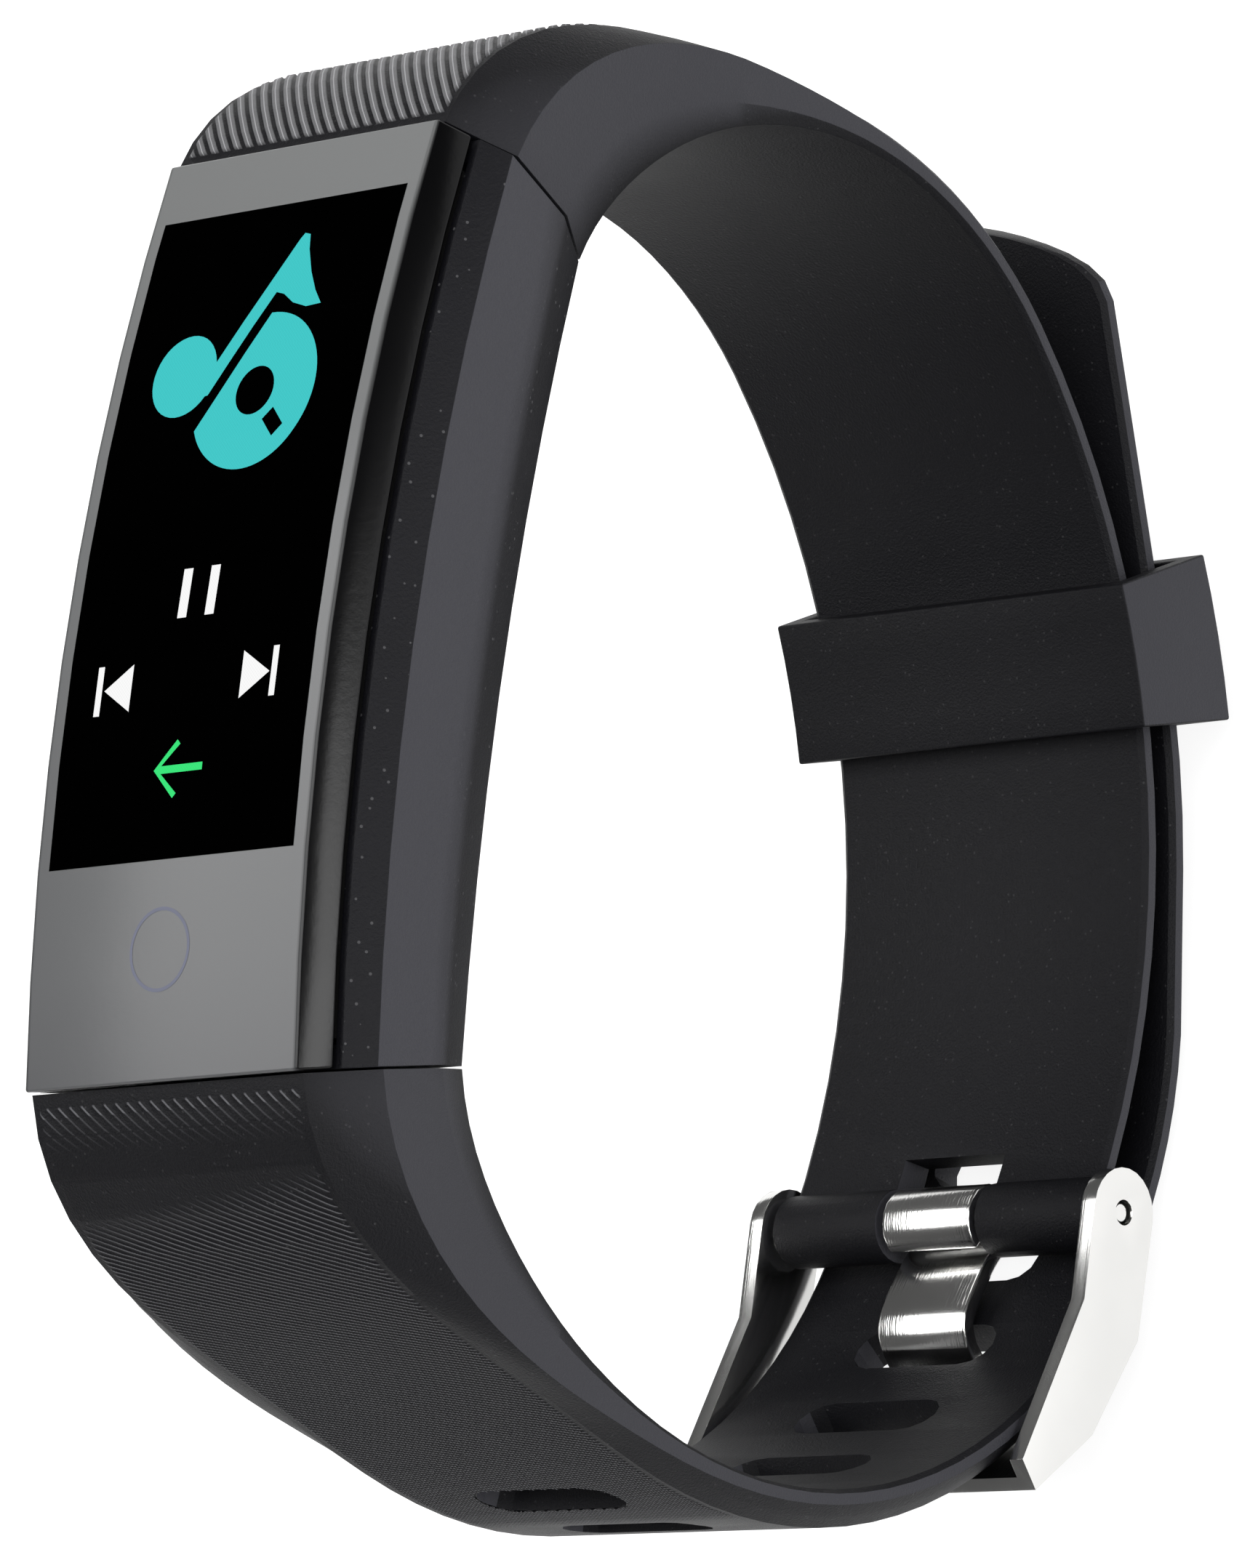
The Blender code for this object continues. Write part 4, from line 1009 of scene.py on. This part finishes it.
# %% Screen field
def screen_black():
    finish = Finish(
        "unlit_screen",
        (0.0001, 0.0001, 0.0001),
        (0.0003, 0.0003, 0.0003),
        0.45,
        0.04,
        2500.0,
        0.000003,
        0.0,
    )
    finish.shader.inputs["Specular IOR Level"].default_value = 0.0
    return finish.material


SCREEN_MIDDLE = 3.27
SCREEN_HALF_WIDTH = 7.57
SCREEN_HALF_LENGTH = 15.15


def add_screen_field():
    """A grid that covers the screen, laid on the lens."""
    bpy.ops.mesh.primitive_grid_add(x_subdivisions=72, y_subdivisions=8, size=2.0)
    field = bpy.context.object
    field.name = "screen_field"
    for vertex in field.data.vertices:
        x = (SCREEN_MIDDLE + vertex.co.x * SCREEN_HALF_LENGTH) * MM
        vertex.co = (x, vertex.co.y * SCREEN_HALF_WIDTH * MM, 0.0)
    lay_on_lens(field, 0.012 * MM)
    bpy.ops.object.shade_smooth()
    field.data.materials.append(screen_black())
    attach(field, "band")
    field.select_set(False)
    print("screen_field", len(field.data.polygons), "faces")
    return field


add_screen_field()

# %% Lit signs
teal = glow_finish("teal_light", (0.045, 0.58, 0.58), 1.0)
white = glow_finish("white_light", (0.95, 0.95, 0.95), 1.0)
green = glow_finish("green_light", (0.03, 0.79, 0.19), 1.0)
SIGN_LIFT = 0.03 * MM

NOTE_HEAD = (-3.7, 10.5)
NOTE_HEAD_RADIUS = 1.95
RECORD = (1.05, 9.3)
RECORD_RADIUS = 3.7
RECORD_HOLE_RADIUS = 1.15


def note_outline():
    """Round head, a leaning stem, and a curved flag."""
    head = ring_points(NOTE_HEAD, NOTE_HEAD_RADIUS, -35.0, -311.0, 34)
    stem_top = [(1.68, 16.5), (1.9, 16.75), (2.25, 16.65)]
    flag = [(2.42, 15.9), (2.9, 14.75), (3.45, 13.8), (4.0, 13.1)]
    flag_edge = [(3.1, 13.05), (2.2, 13.35), (1.5, 13.85), (0.99, 14.0)]
    return head + stem_top + flag + flag_edge + [(-1.93, 9.4)]


def record_outline():
    """A record behind the note: its disc, cut off beside the stem."""
    return ring_points(RECORD, RECORD_RADIUS, -154.8, 245.0, 52)


def record_mark():
    """The small dark mark between the record's hole and its rim."""
    along, across = Vector((0.68, -0.73)), Vector((0.73, 0.68))
    middle = Vector(RECORD) + 2.25 * along
    corners = ((-0.6, -0.38), (0.6, -0.38), (0.6, 0.38), (-0.6, 0.38))
    return [tuple(middle + a * along + b * across) for a, b in corners]


def bar(left, right, low, high):
    return [(left, low), (right, low), (right, high), (left, high)]


def pointer(base, tip, level):
    """A triangle that points sideways."""
    return [(base, level - 1.07), (tip, level), (base, level + 1.07)]


def arrow_outline(tip, tail, level, reach, half):
    """An arrow that points left, with an open head."""
    bend = half * 1.2
    return [
        (tip, level),
        (tip + reach, level + reach),
        (tip + reach + bend, level + reach - bend),
        (tip + 2.6 * half, level + half),
        (tail, level + half),
        (tail, level - half),
        (tip + 2.6 * half, level - half),
        (tip + reach + bend, level - reach + bend),
        (tip + reach, level - reach),
    ]


flat_sign("music_note", [note_outline()], teal, SIGN_LIFT)
record_hole = ring_points(RECORD, RECORD_HOLE_RADIUS)
flat_sign("record_disc", [record_outline(), record_hole, record_mark()], teal, SIGN_LIFT)
STEP_LEVEL = -4.0
for name, outline, light in (
    ("pause_left", bar(-1.26, -0.7, -1.05, 1.2), white),
    ("pause_right", bar(0.44, 1.0, -1.05, 1.2), white),
    ("previous_bar", bar(-5.77, -5.4, STEP_LEVEL - 1.12, STEP_LEVEL + 1.12), white),
    ("previous_pointer", pointer(-3.55, -5.25, STEP_LEVEL), white),
    ("next_bar", bar(5.1, 5.45, STEP_LEVEL - 1.12, STEP_LEVEL + 1.12), white),
    ("next_pointer", pointer(3.28, 5.0, STEP_LEVEL), white),
    ("back_arrow", arrow_outline(-1.5, 1.5, -7.9, 1.3, 0.17), green),
):
    flat_sign(name, [outline], light, SIGN_LIFT)

# %% [markdown]
# Under the screen, a faint printed ring shows where the touch key is. Its print is
# a dark blue, painted as grey as the lens's painted reflection, so it hardly differs
# from the lens.

# %% Touch key ring
def touch_ring_finish():
    finish = Finish(
        "key_print",
        (0.062, 0.068, 0.105),
        (0.072, 0.078, 0.120),
        0.20,
        0.05,
        2500.0,
        0.000004,
        0.0,
    )
    finish.shader.inputs["Specular IOR Level"].default_value = LENS_GLOSS
    return finish.material


KEY_MIDDLE = (-0.25, -15.8)
KEY_RADIUS = 1.85
flat_sign(
    "touch_key_ring",
    [ring_points(KEY_MIDDLE, KEY_RADIUS), ring_points(KEY_MIDDLE, KEY_RADIUS - 0.16)],
    touch_ring_finish(),
    0.012 * MM,
)
